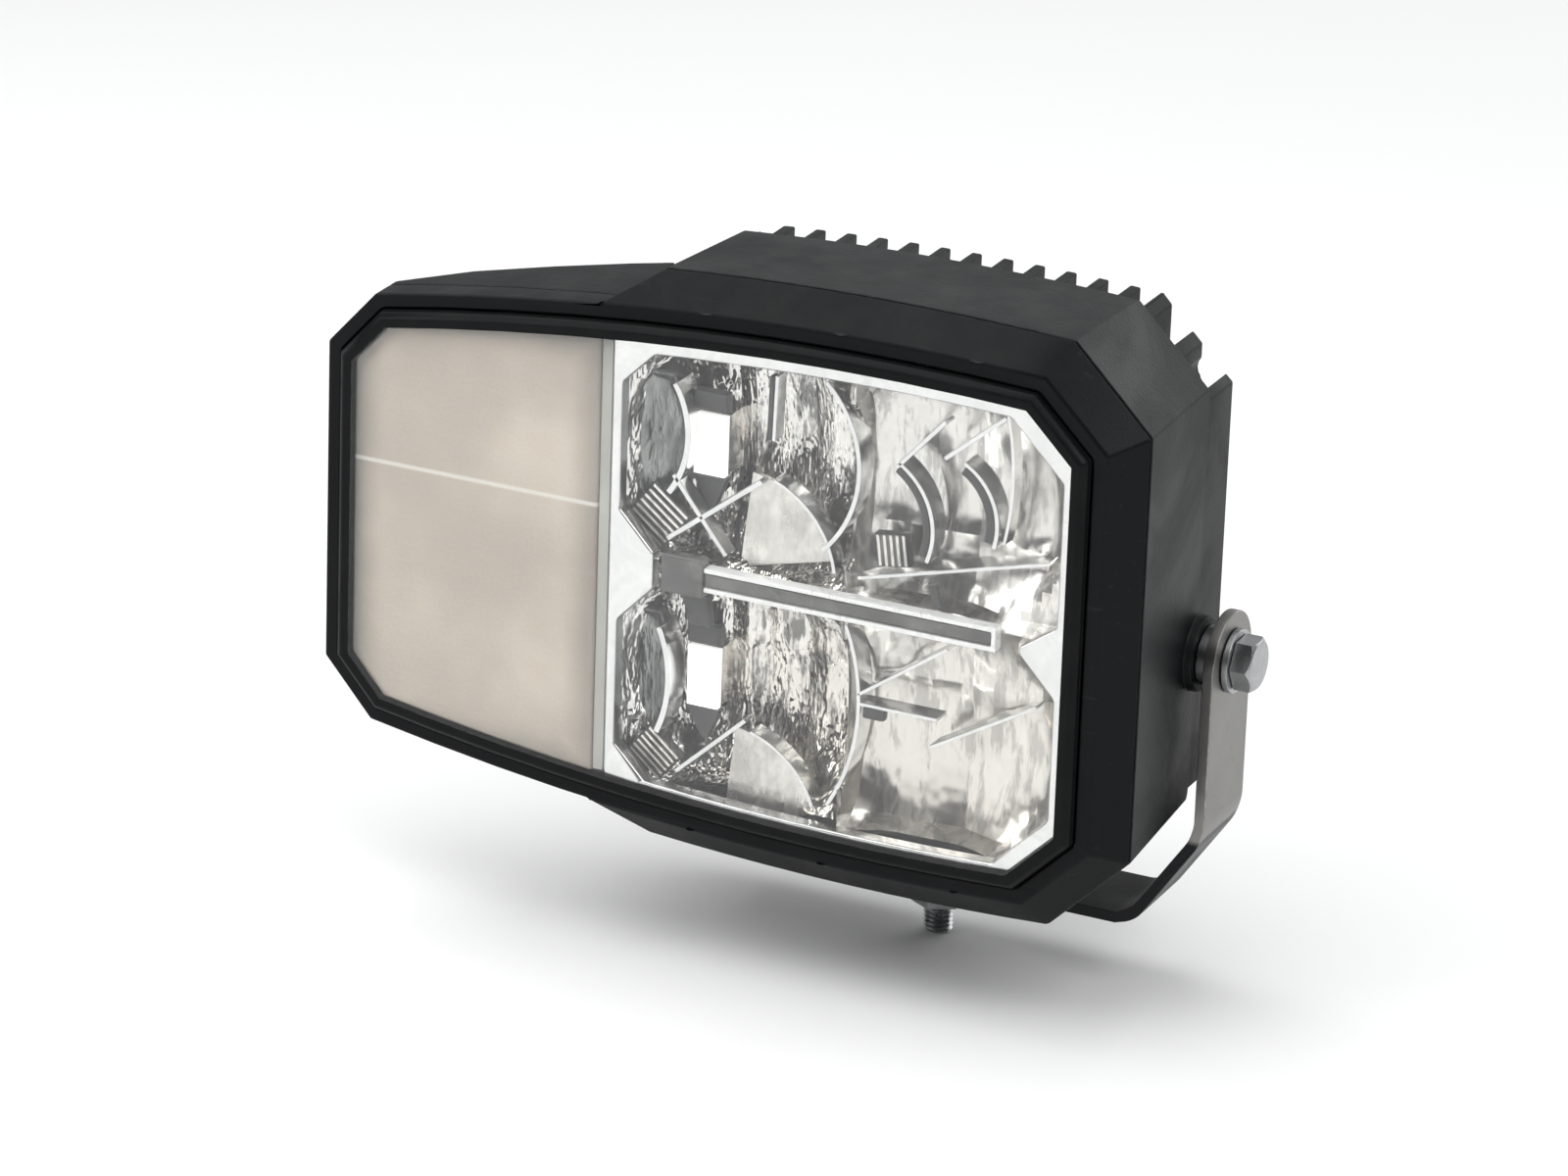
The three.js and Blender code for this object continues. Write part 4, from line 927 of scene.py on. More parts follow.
class LAMP_OT_reflectors(bpy.types.Operator):
    """Four metallised bowls with curved upright facets"""
    bl_idname = "lamp.reflectors"
    bl_label = "Make Reflectors"

    def execute(self, context):
        for where in QUARTERS:
            self.bowl(where, context.scene.lamp_sizes)
        return {"FINISHED"}

    def bowl(self, where, sizes):
        low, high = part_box("reflector_" + where)
        right, upper = where.endswith("right"), where.startswith("upper")
        front = low.y
        # The right bowls are shallower, with half as many, broader facets.
        facets = sizes.bowl_columns // 2 if right else sizes.bowl_columns
        bowl_depth = sizes.bowl_depth * (0.7 if right else 1.0)
        per_column, rows = (8, 22) if right else (4, 22)
        columns = facets * per_column
        # The outer edge stays inside the bright frame, which drops towards its ends.
        low_z = low.z if upper else low.z + (1.5 if right else 3.0) * MM
        high_z = high.z - (1.5 if right else 3.0) * MM if upper else high.z
        wide, tall = high.x - low.x, high_z - low_z
        clear_selection()
        bpy.ops.mesh.primitive_grid_add(
            x_subdivisions=columns, y_subdivisions=rows, size=1.0,
            location=((low.x + high.x) / 2, front, (low_z + high_z) / 2), rotation=(math.pi / 2, 0.0, 0.0))
        piece = added("reflector_bowl_" + where)
        piece.scale = (wide, tall, 1.0)
        settle(piece)

        column_w, row_h = wide / columns, tall / rows
        start_edit(piece, "VERT")
        # Side walls first, then the bowl, deepest behind its light source.
        choose("verts", lambda v: low.x + 0.5 * column_w < v.co.x < high.x - 0.5 * column_w
               and low_z + 0.5 * row_h < v.co.z < high_z - 0.5 * row_h)
        bpy.ops.transform.translate(value=(0.0, 3.5 * MM, 0.0))
        focus_x = low.x + wide * (0.38 if right else 0.55)
        focus_z = low_z + tall * 0.5
        choose("verts", lambda v: abs(v.co.x - focus_x) < column_w and abs(v.co.z - focus_z) < row_h)
        bpy.ops.transform.translate(value=(0.0, bowl_depth, 0.0), use_proportional_edit=True,
                                    proportional_edit_falloff="SPHERE", proportional_size=33 * MM)
        # Ridges between the facets.
        for k in range(1, facets):
            ridge_x = low.x + k * per_column * column_w
            choose("verts", lambda v: abs(v.co.x - ridge_x) < 0.2 * column_w
                   and low_z + 1.5 * row_h < v.co.z < high_z - 1.5 * row_h)
            rise = sizes.facet_rise * (1.3, 0.6, 1.0)[k % 3]
            bpy.ops.transform.translate(value=(0.0, -rise, 0.0), use_proportional_edit=True,
                                        proportional_edit_falloff="ROOT",
                                        proportional_size=0.45 * per_column * column_w)
        # A cross step shared by the facets of each bowl.
        step_z = low_z + tall * (0.30 if upper else 0.66)
        choose("verts", lambda v: abs(v.co.z - step_z) < 0.6 * row_h
               and low.x + 1.5 * column_w < v.co.x < high.x - 1.5 * column_w)
        bpy.ops.transform.translate(value=(0.0, -0.8 * MM, 0.0))
        if right:
            # The outer corner follows the frame's cut corner.
            side = 1.0 if upper else -1.0
            bpy.ops.mesh.select_all(action="SELECT")
            bpy.ops.mesh.bisect(plane_co=head(50.0, side * 53.5), plane_no=(1.0, 0.0, side), clear_outer=True)
        end_edit()
        modify(piece, "SOLIDIFY", thickness=1.2 * MM, offset=-1.0)
        face_outwards(piece)
        smooth(piece, 24.0)
        hand_over(piece, "lamp", "mirror_plastic", finish(polished_coat if right else mirror_coat),
                  "reflector_" + where)


class LAMP_OT_ridges(bpy.types.Operator):
    """Bright ribs, arcs and prisms that stand in the reflector bowls"""
    bl_idname = "lamp.ridges"
    bl_label = "Make Reflector Ribs"

    def execute(self, context):
        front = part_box("reflector_upper_left")[0].y + 0.2 * MM
        bright = [
            # upper left: pocket wall, big arc, crossing ribs, inner arc
            arc("a", (-77.6, 35.0), 26.9, -36, 32, 1.7 * MM, front, 9 * MM),
            arc("b", (-33.9, 34.5), 31.5, -46, 47, 1.3 * MM, front, 8 * MM),
            arc("c", (-36.0, 2.0), 27.5, 8, 70, 1.0 * MM, front + 1.0 * MM, 6 * MM),
            band("d", (-54.5, 24.5), (-39.0, 5.0), 1.5 * MM, front, 5 * MM),
            band("e", (-56.0, 6.5), (-29.5, 27.3), 1.5 * MM, front, 5 * MM),
            # lower left
            arc("f", (-90.6, -33.0), 36.2, -24, 24, 1.7 * MM, front, 9 * MM),
            arc("g", (-56.3, -29.0), 56.2, -31, 23, 1.1 * MM, front, 8 * MM),
            arc("h", (-38.5, -69.0), 27.5, 8, 74, 1.0 * MM, front + 1.0 * MM, 6 * MM),
            band("h2", (-26.6, 56.2), (-27.0, 38.5), 1.0 * MM, front + 1.0 * MM, 5 * MM),
            band("i", (-51.5, -57.5), (-32.0, -39.2), 1.2 * MM, front, 5 * MM),
            # upper right: two steep arcs, their cross ribs, and the shelf under them
            arc("j", (-2.0, 22.0), 20.6, -22, 60, 1.2 * MM, front, 7 * MM),
            arc("k", (18.0, 27.0), 18.2, -17, 62, 1.2 * MM, front, 7 * MM),
            arc("l", (-40.0, 40.0), 80.0, -12, 14, 0.9 * MM, front, 5 * MM),
            band("m", (8.0, 38.5), (21.0, 53.2), 1.2 * MM, front, 5 * MM),
            band("n", (21.0, 43.2), (37.5, 57.2), 1.2 * MM, front, 5 * MM),
            band("o", (-2.0, 6.2), (51.0, 20.5), 1.0 * MM, front + 0.5 * MM, 9 * MM),
            # lower right: shallow steps
            band("p", (-0.5, -25.5), (24.0, -8.0), 1.0 * MM, front, 6 * MM),
            band("q", (0.0, -27.8), (22.0, -27.8), 1.1 * MM, front, 6 * MM),
            band("r", (20.0, -36.0), (49.0, -19.0), 1.0 * MM, front + 0.5 * MM, 7 * MM),
        ]
        ribs = joined("reflector_ribs", bright)
        hand_over(ribs, "lamp", "mirror_plastic", finish(bright_chrome))
        # Painted shade: dark strips laid in beside the bright ribs and arcs, where their shaded sides fall.
        dark = [
            arc("s", (-2.0, 22.0), 18.7, -20, 58, 2.0 * MM, front + 0.2 * MM, 4 * MM),
            arc("t", (18.0, 27.0), 16.2, -15, 60, 2.4 * MM, front + 0.2 * MM, 4 * MM),
            band("s2", (-27.9, 56.0), (-28.3, 38.6), 1.3 * MM, front + 0.8 * MM, 3 * MM),
            band("u", (1.0, -29.8), (7.3, -29.8), 3.6 * MM, front - 0.2 * MM, 3 * MM),
            band("v", (19.0, 8.5), (21.0, 2.5), 2.4 * MM, front - 0.1 * MM, 2 * MM),
        ]
        shade_strips = joined("reflector_slots", dark)
        hand_over(shade_strips, "lamp", "smoke_plastic", finish(dark_trim))
        aprons = [
            arc("w", (-36.0, 2.0), 14.6, 14, 84, 24.0 * MM, front + 2.6 * MM, 1.4 * MM),
            arc("x", (-38.5, -69.0), 14.6, 14, 84, 24.0 * MM, front + 2.6 * MM, 1.4 * MM),
        ]
        apron = joined("reflector_aprons", aprons)
        hand_over(apron, "lamp", "mirror_plastic", finish(satin_coat))
        for name, at, side, turn, ribs_across in (
            ("prism_upper_left", (-58.8, 12.2), 13.5, 52.0, 7),
            ("prism_lower_left", (-58.6, -54.4), 12.0, 50.0, 7),
            ("prism_upper_right", (7.4, 15.6), 9.0, 8.0, 5),
        ):
            self.prism(name, at, side * MM, math.radians(turn), ribs_across, front)
        return {"FINISHED"}

    @staticmethod
    def prism(name, at, side, turn, ribs_across, front):
        """A small grating: bright bars across a dark plate, turned in its bowl."""
        middle = head(*at)
        plate = block(name + "_plate", (middle.x, front + 2.2 * MM, middle.z), (side, 2.4 * MM, side))
        start_edit(plate)
        choose("faces", lambda face: face.normal.y < -0.9)
        bpy.ops.mesh.inset(thickness=0.5 * MM, depth=-0.5 * MM)
        end_edit()
        pitch = side / ribs_across
        bars = []
        for k in range(ribs_across):
            x = middle.x + (k + 0.5) * pitch - side / 2
            bar = block("r", (x, front + 1.1 * MM, middle.z), (pitch * 0.5, 1.6 * MM, side * 0.92))
            bars.append(round_edges(bar, pitch * 0.12, 2))
        grating = joined(name + "_bars", bars)
        for piece, material in ((plate, pocket_coat), (grating, polished_coat)):
            start_edit(piece)
            bpy.ops.mesh.select_all(action="SELECT")
            bpy.ops.transform.rotate(value=turn, orient_axis="Y", center_override=(middle.x, 0.0, middle.z))
            end_edit()
            smooth(piece, 24.0)
            hand_over(piece, "lamp", "mirror_plastic", finish(material))


class LAMP_OT_light_sources(bpy.types.Operator):
    """Four light sources, each a white window in a stepped holder"""
    bl_idname = "lamp.light_sources"
    bl_label = "Make Light Sources"

    def execute(self, context):
        for where in QUARTERS:
            self.source(where)
        return {"FINISHED"}

    def source(self, where):
        low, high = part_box("led_module_" + where)
        if where.endswith("left"):
            # The left pair stand on towers that reach through their bowls.
            low += Vector((4.8 * MM, -13.0 * MM, 0.0))
            high += Vector((5.8 * MM, 0.0, 0.6 * MM))
            tower = block("source_tower_" + where, ((low.x + high.x) / 2, (low.y + high.y) / 2 + 1.2 * MM,
                                                    (low.z + high.z) / 2),
                          (high.x - low.x - 0.8 * MM, high.y - low.y - 2.4 * MM, high.z - low.z - 0.8 * MM))
            start_edit(tower)
            choose("faces", lambda face: face.normal.y > 0.9)
            bpy.ops.transform.resize(value=(1.25, 1.0, 1.15))
            end_edit()
            round_edges(tower, 0.4 * MM, 2)
            hand_over(tower, "lamp", "mirror_plastic", finish(polished_coat))
            high.y = low.y + 2.2 * MM
        middle = (low + high) / 2
        size = high - low
        piece = block("light_source_" + where, middle, size)
        start_edit(piece)
        choose("faces", lambda face: face.normal.y < -0.9)
        bpy.ops.mesh.inset(thickness=0.6 * MM, depth=0.0)
        bpy.ops.mesh.inset(thickness=0.25 * MM, depth=-0.4 * MM)
        end_edit()
        round_edges(piece, 0.25 * MM, 2)
        hand_over(piece, "lamp", "plastic_white", finish(light_window), "led_module_" + where)
        if where.endswith("right"):
            return
        # A dark cap above and a pointed dark foot below.
        cap = block("source_cap_" + where, (middle.x, low.y + 1.6 * MM, high.z + 3.6 * MM),
                    (size.x + 0.4 * MM, 3.0 * MM, 5.4 * MM))
        start_edit(cap)
        choose("faces", lambda face: face.normal.y < -0.9)
        bpy.ops.mesh.inset(thickness=0.7 * MM, depth=0.5 * MM)
        end_edit()
        round_edges(cap, 0.3 * MM, 2)
        hand_over(cap, "lamp", "smoke_plastic", finish(dark_trim))
        foot = block("source_foot_" + where, (middle.x, low.y + 1.8 * MM, low.z - 4.6 * MM),
                     (size.x + 0.8 * MM, 3.0 * MM, 8.4 * MM))
        start_edit(foot)
        choose("faces", lambda face: face.normal.z < -0.9)
        bpy.ops.transform.resize(value=(0.16, 1.0, 1.0),
                                 center_override=(middle.x + 1.0 * MM, middle.y, middle.z))
        end_edit()
        round_edges(foot, 0.3 * MM, 2)
        hand_over(foot, "lamp", "smoke_plastic", finish(dark_trim))
        # The hollow pocket beside it, with eight cut corners and a dished face.
        beside = (-60.7, 31.5) if where == "upper_left" else (-62.8, -34.2)
        at = head(*beside)
        clear_selection()
        bpy.ops.mesh.primitive_cylinder_add(vertices=8, radius=1.0, depth=4.0 * MM,
                                            location=(at.x, low.y + 2.0 * MM, at.z),
                                            rotation=(math.pi / 2, math.pi / 8, 0.0))
        pocket = added("source_pocket_" + where)
        settle(pocket)
        start_edit(pocket)
        bpy.ops.mesh.select_all(action="SELECT")
        bpy.ops.transform.resize(value=(9.4 * MM, 1.0, 20.0 * MM), center_override=(at.x, 0.0, at.z))
        choose("faces", lambda face: face.normal.y < -0.9)
        bpy.ops.mesh.inset(thickness=0.8 * MM, depth=0.0)
        bpy.ops.mesh.inset(thickness=1.6 * MM, depth=-1.3 * MM)
        bpy.ops.mesh.inset(thickness=2.4 * MM, depth=-0.6 * MM)
        end_edit()
        round_edges(pocket, 0.3 * MM, 2)
        hand_over(pocket, "lamp", "mirror_plastic", finish(pocket_coat))


class LAMP_OT_light_bar(bpy.types.Operator):
    """Position light: smoked guide in silver rails, with its block and its stem"""
    bl_idname = "lamp.light_bar"
    bl_label = "Make Light Bar"

    def execute(self, context):
        rails = round_edges(copy_of("light_bar_channel", "light_bar_rails"), 0.3 * MM, 2)
        hand_over(rails, "lamp", "silver_plastic", finish(silver_moulding), "light_bar_channel")
        low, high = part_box("light_guide")
        guide = block("light_bar_core", (low + high) / 2, high - low)
        start_edit(guide)
        choose("faces", lambda face: face.normal.y < -0.9)
        bpy.ops.mesh.inset(thickness=0.5 * MM, depth=-0.25 * MM)
        end_edit()
        round_edges(guide, 0.15 * MM, 2)
        hand_over(guide, "lamp", "smoke_plastic", finish(smoked_moulding), "light_guide")
        low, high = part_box("light_bar_block")
        end_block = block("light_bar_head", (low + high) / 2, high - low)
        start_edit(end_block)
        choose("faces", lambda face: face.normal.y < -0.9)
        bpy.ops.mesh.inset(thickness=1.2 * MM, depth=0.35 * MM)
        end_edit()
        round_edges(end_block, 0.4 * MM, 2)
        hand_over(end_block, "lamp", "smoke_plastic", finish(smoked_moulding), "light_bar_block")
        stem = block("light_bar_stem", (high.x - 4.0 * MM, high.y + 0.9 * MM, low.z - 4.6 * MM),
                     (8.0 * MM, 3.4 * MM, 8.6 * MM))
        start_edit(stem)
        choose("faces", lambda face: face.normal.z < -0.9)
        bpy.ops.transform.translate(value=(2.4 * MM, 0.0, 0.0))
        bpy.ops.transform.resize(value=(0.7, 1.0, 1.0))
        end_edit()
        round_edges(stem, 0.5 * MM, 2)
        hand_over(stem, "lamp", "smoke_plastic", finish(dark_trim))
        return {"FINISHED"}


class LAMP_OT_indicator(bpy.types.Operator):
    """Frosted indicator panel and the pale strip between it and the bright frame"""
    bl_idname = "lamp.indicator"
    bl_label = "Make Indicator"

    def execute(self, context):
        panel = round_edges(copy_of("indicator_panel", "indicator_diffuser"), 0.8 * MM, 3, clamp=False)
        hand_over(panel, "lamp", "panel_frosted", finish(frosted_panel), "indicator_panel")
        panel_low, panel_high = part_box("indicator_panel")
        frame_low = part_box("trim_frame")[0]
        wide = frame_low.x - panel_high.x - 0.5 * MM
        middle_x = (frame_low.x + panel_high.x) / 2
        strip = block("divider_strip", (middle_x, panel_low.y + 1.9 * MM, HEAD_Z), (wide, 3.0 * MM, 119 * MM))
        start_edit(strip)
        choose("faces", lambda face: face.normal.y < -0.9)
        bpy.ops.mesh.inset(thickness=0.6 * MM, depth=-0.3 * MM)
        end_edit()
        round_edges(strip, 0.3 * MM, 2)
        hand_over(strip, "lamp", "plastic_white", finish(pale_moulding))
        return {"FINISHED"}


# ---------------------------------------------------------------- bracket and fasteners
class LAMP_OT_bracket(bpy.types.Operator):
    """Pressed steel bracket with rounded bends"""
    bl_idname = "lamp.bracket"
    bl_label = "Make Bracket"

    def execute(self, context):
        sizes = context.scene.lamp_sizes
        piece = copy_of("bracket", "bracket_strip")
        wide = BRACKET_HIGH.y - BRACKET_LOW.y
        for outside in (True, False):
            start_edit(piece, "EDGE")
            choose("edges", lambda edge: self.bend(edge, wide, outside))
            bpy.ops.mesh.bevel(offset=sizes.bend_outer if outside else sizes.bend_inner, segments=7,
                               clamp_overlap=False)
            end_edit()
        round_edges(piece, sizes.metal_round, 2, clamp=False)
        hand_over(piece, "bracket", "bracket_steel", finish(dull_steel), "bracket")
        return {"FINISHED"}

    @staticmethod
    def bend(edge, wide, outside):
        """True for an edge along a bend: it runs the strip's whole width, and two of its faces lean."""
        a, b = edge.verts
        if abs(a.co.y - b.co.y) < 0.98 * wide or len(edge.link_faces) != 2:
            return False
        turned = edge.link_faces[0].normal.angle(edge.link_faces[1].normal)
        if not math.radians(20) < turned < math.radians(80):
            return False
        middle = Vector((HEAD_X, 0.0, HEAD_Z))
        centre = (a.co + b.co) / 2
        facing = (edge.link_faces[0].normal + edge.link_faces[1].normal).dot(centre - middle)
        return (facing > 0) == outside


def washer(name, axis, low, high, a, b, outer, inner, sides=56):
    """A ring: both ends of a cylinder inset to the hole and bridged through it."""
    piece = cylinder(name, axis, low, high, a, b, outer, sides)
    along = {"x": 0, "y": 1, "z": 2}[axis]
    start_edit(piece)
    choose("faces", lambda face: abs(face.normal[along]) > 0.9)
    bpy.ops.mesh.inset(thickness=outer - inner, use_even_offset=False)
    bpy.ops.mesh.bridge_edge_loops()
    end_edit()
    face_outwards(piece)
    return round_edges(piece, 0.2 * MM, 2)


def hex_head(name, axis, low, high, a, b, flats, outer_end):
    """A hexagon whose outer corners are turned off, as on a real bolt."""
    chamfer = flats * 0.08
    piece = cylinder(name, axis, low, high, a, b, flats / math.sqrt(3.0), 6)
    along = {"x": 0, "y": 1, "z": 2}[axis]
    reach = (low, high - chamfer) if outer_end > 0 else (low + chamfer, high)
    turned = cylinder("cutter", axis, *reach, a, b, flats / math.sqrt(3.0) * 1.01, 64)
    out = [chamfer * outer_end if i == along else 0.0 for i in range(3)]
    start_edit(turned)
    choose("faces", lambda face: face.normal[along] * outer_end > 0.9)
    bpy.ops.mesh.extrude_region_move(TRANSFORM_OT_translate={"value": out})
    middle = {"x": (0.0, a, b), "y": (a, 0.0, b), "z": (a, b, 0.0)}[axis]
    bpy.ops.transform.resize(value=[1.0 if i == along else 0.82 for i in range(3)], center_override=middle)
    end_edit()
    cut(piece, turned, "INTERSECT")
    return round_edges(piece, 0.2 * MM, 2)


def thread(name, axis_x, axis_y, low, high, radius, pitch, depth):
    """A cut thread along Z: a notch wound upwards, then trimmed flat at both ends."""
    clear_selection()
    bpy.ops.mesh.primitive_circle_add(vertices=3, radius=1.0, fill_type="NOTHING",
                                      rotation=(math.pi / 2, 0.0, 0.0))
    piece = settle(added(name))
    # The tip of the section is the crest, and its open side faces the core.
    start_edit(piece, "VERT")
    section = bmesh.from_edit_mesh(piece.data)
    corners = ((radius - depth, -pitch / 2), (radius - depth, pitch / 2), (radius, 0.0))
    for vert, (x, z) in zip(section.verts, corners):
        vert.co = Vector((x, 0.0, z))
    bmesh.update_edit_mesh(piece.data)
    bpy.ops.mesh.select_mode(type="EDGE")
    choose("edges", lambda edge: abs(edge.verts[0].co.x - edge.verts[1].co.x) < 0.1 * depth)
    bpy.ops.mesh.delete(type="EDGE")
    end_edit()
    turns = math.ceil((high - low) / pitch) + 2
    modify(piece, "SCREW", axis="Z", angle=2 * math.pi, screw_offset=pitch, iterations=turns, steps=36,
           render_steps=36, use_merge_vertices=True, merge_threshold=0.01 * MM)
    piece.location = (axis_x, axis_y, low - pitch)
    settle(piece)
    start_edit(piece)
    for height, upper in ((low, False), (high, True)):
        bpy.ops.mesh.select_all(action="SELECT")
        bpy.ops.mesh.bisect(plane_co=(0.0, 0.0, height), plane_no=(0.0, 0.0, 1.0), use_fill=True,
                            clear_outer=upper, clear_inner=not upper)
    end_edit()
    return smooth(face_outwards(piece), 25.0)


class LAMP_OT_side_bolts(bpy.types.Operator):
    """Side bolts, their washers and the spacers behind the bracket's arms"""
    bl_idname = "lamp.side_bolts"
    bl_label = "Make Side Bolts"

    def execute(self, context):
        metal = finish(zinc_plate)
        for side, outer_end in (("right", 1.0), ("left", -1.0)):
            low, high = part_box("tilt_spacer_" + side)
            y, z = (low.y + high.y) / 2, (low.z + high.z) / 2
            piece = washer("spacer_" + side, "x", low.x, high.x, y, z, SPACER_EDGE, WASHER_HOLE)
            hand_over(piece, "lamp", "zinc_steel", metal, "tilt_spacer_" + side)
            low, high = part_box("tilt_washer_" + side)
            piece = washer("washer_" + side, "x", low.x, high.x, y, z, WASHER_EDGE, WASHER_HOLE)
            hand_over(piece, "lamp", "zinc_steel", metal, "tilt_washer_" + side)
            low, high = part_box("tilt_bolt_" + side)
            head_from = high.x - BOLT_HEAD if outer_end > 0 else low.x
            head_to = high.x if outer_end > 0 else low.x + BOLT_HEAD
            bolt_head = hex_head("h", "x", head_from, head_to, y, z, BOLT_FLATS, outer_end)
            shank_from = low.x if outer_end > 0 else head_to - 0.5 * MM
            shank_to = head_from + 0.5 * MM if outer_end > 0 else high.x
            shank = cylinder("k", "x", shank_from, shank_to, y, z, 3.9 * MM, 40)
            round_edges(shank, 0.5 * MM, 2)
            piece = joined("side_bolt_" + side, [bolt_head, shank])
            hand_over(piece, "lamp", "zinc_steel", metal, "tilt_bolt_" + side)
        return {"FINISHED"}


class LAMP_OT_foot(bpy.types.Operator):
    """Foot bolt with its thread, washer, nut and pad"""
    bl_idname = "lamp.foot"
    bl_label = "Make Foot"

    def execute(self, context):
        sizes = context.scene.lamp_sizes
        metal = finish(zinc_plate)
        low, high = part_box("foot_bolt")
        seat = BRACKET_LOW.z + 3.3 * MM
        bolt_head = copy_of("foot_bolt", "foot_bolt_head")
        start_edit(bolt_head)
        bpy.ops.mesh.select_all(action="SELECT")
        bpy.ops.mesh.bisect(plane_co=(0.0, 0.0, seat - 2.0 * MM), plane_no=(0.0, 0.0, 1.0), use_fill=True,
                            clear_inner=True)
        end_edit()
        face_outwards(bolt_head)
        round_edges(bolt_head, 0.3 * MM, 2)
        stud = thread("t", 0.0, 0.0, low.z + 0.8 * MM, seat - 1.0 * MM, 4.0 * MM, sizes.thread_pitch,
                      sizes.thread_depth)
        tip = cylinder("p", "z", low.z, low.z + 1.4 * MM, 0.0, 0.0, 3.35 * MM, 40)
        round_edges(tip, 0.5 * MM, 3)
        piece = joined("foot_bolt_turned", [bolt_head, stud, tip])
        hand_over(piece, "foot", "zinc_steel", metal, "foot_bolt")
        low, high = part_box("foot_washer")
        piece = washer("foot_washer_ring", "z", low.z, high.z, 0.0, 0.0, WASHER_EDGE, WASHER_HOLE)
        hand_over(piece, "foot", "zinc_steel", metal, "foot_washer")
        nut = copy_of("foot_nut", "foot_nut_hex")
        round_edges(nut, 0.45 * MM, 3)
        hand_over(nut, "foot", "zinc_steel", metal, "foot_nut")
        pad = copy_of("foot_pad", "foot_pad_moulding")
        round_edges(pad, 0.4 * MM, 2)
        hand_over(pad, "foot", "rubber_black", finish(black_rubber), "foot_pad")
        return {"FINISHED"}


class LAMP_OT_inlet(bpy.types.Operator):
    """Electrical inlet, its screws and the vent plug behind the wing"""
    bl_idname = "lamp.inlet"
    bl_label = "Make Inlet"

    def execute(self, context):
        for name, node_name, width in (
            ("inlet_shroud", "inlet_shell", 0.5 * MM),
            ("inlet_pins", "inlet_insert", 0.15 * MM),
            ("vent_cap", "vent_plug", 0.5 * MM),
        ):
            piece = round_edges(copy_of(node_name, name), width, 2)
            hand_over(piece, "lamp", "plastic_black", finish(satin_moulding), node_name)
        for where in ("lower", "upper"):
            self.screw("inlet_fastener_" + where, "inlet_screw_" + where,
                       2.0 * MM, 2.7 * MM, 1.5 * MM, 1.25 * MM)
        for k in range(1, 5):
            self.screw(f"case_fastener_{k}", f"case_screw_{k}", 3.0 * MM, 3.5 * MM, 2.0 * MM, 1.75 * MM)
        return {"FINISHED"}

    @staticmethod
    def screw(name, node_name, tall, radius, shank_radius, key_radius):
        """A cap screw with a hexagon socket, its head towards +Y."""
        low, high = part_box(node_name)
        x, z = (low.x + high.x) / 2, (low.z + high.z) / 2
        piece = cylinder(name, "y", high.y - tall, high.y, x, z, radius, 40)
        socket = cylinder("cutter", "y", high.y - tall * 0.6, high.y + tall, x, z, key_radius, 6)
        cut(piece, socket)
        round_edges(piece, 0.25 * MM, 2)
        shank = cylinder("k", "y", low.y, high.y - tall + 0.4 * MM, x, z, shank_radius, 24)
        round_edges(shank, 0.3 * MM, 2)
        piece = joined(name, [piece, shank])
        hand_over(piece, "lamp", "zinc_steel", finish(zinc_plate), node_name)


class LAMP_OT_inner_parts(bpy.types.Operator):
    """Finishes for the parts inside the case, which keep their frame shapes"""
    bl_idname = "lamp.inner_parts"
    bl_label = "Finish Inner Parts"

    def execute(self, context):
        finish_node("lens_gasket", finish(black_rubber))
        finish_node("inlet_gasket", finish(black_rubber))
        finish_node("led_board", finish(circuit_board))
        finish_node("driver_board", finish(circuit_board))
        finish_node("heat_spreader", finish(machined_aluminium))
        for where in QUARTERS:
            finish_node("standoff_" + where, finish(machined_aluminium))
        finish_node("indicator_tray", finish(white_moulding))
        finish_node("indicator_board", finish(white_moulding))
        return {"FINISHED"}


# ---------------------------------------------------------------- the stage
CAMERA_TURNS = (24.838, 21.627, 2.0)  # azimuth, elevation and roll, in degrees
CAMERA_AIM = (-0.03871, -0.02067, 0.07933)
CAMERA_AWAY = 2.0074
CAMERA_LENS, CAMERA_SENSOR = 177.36, 36.0  # in the camera's own millimetres


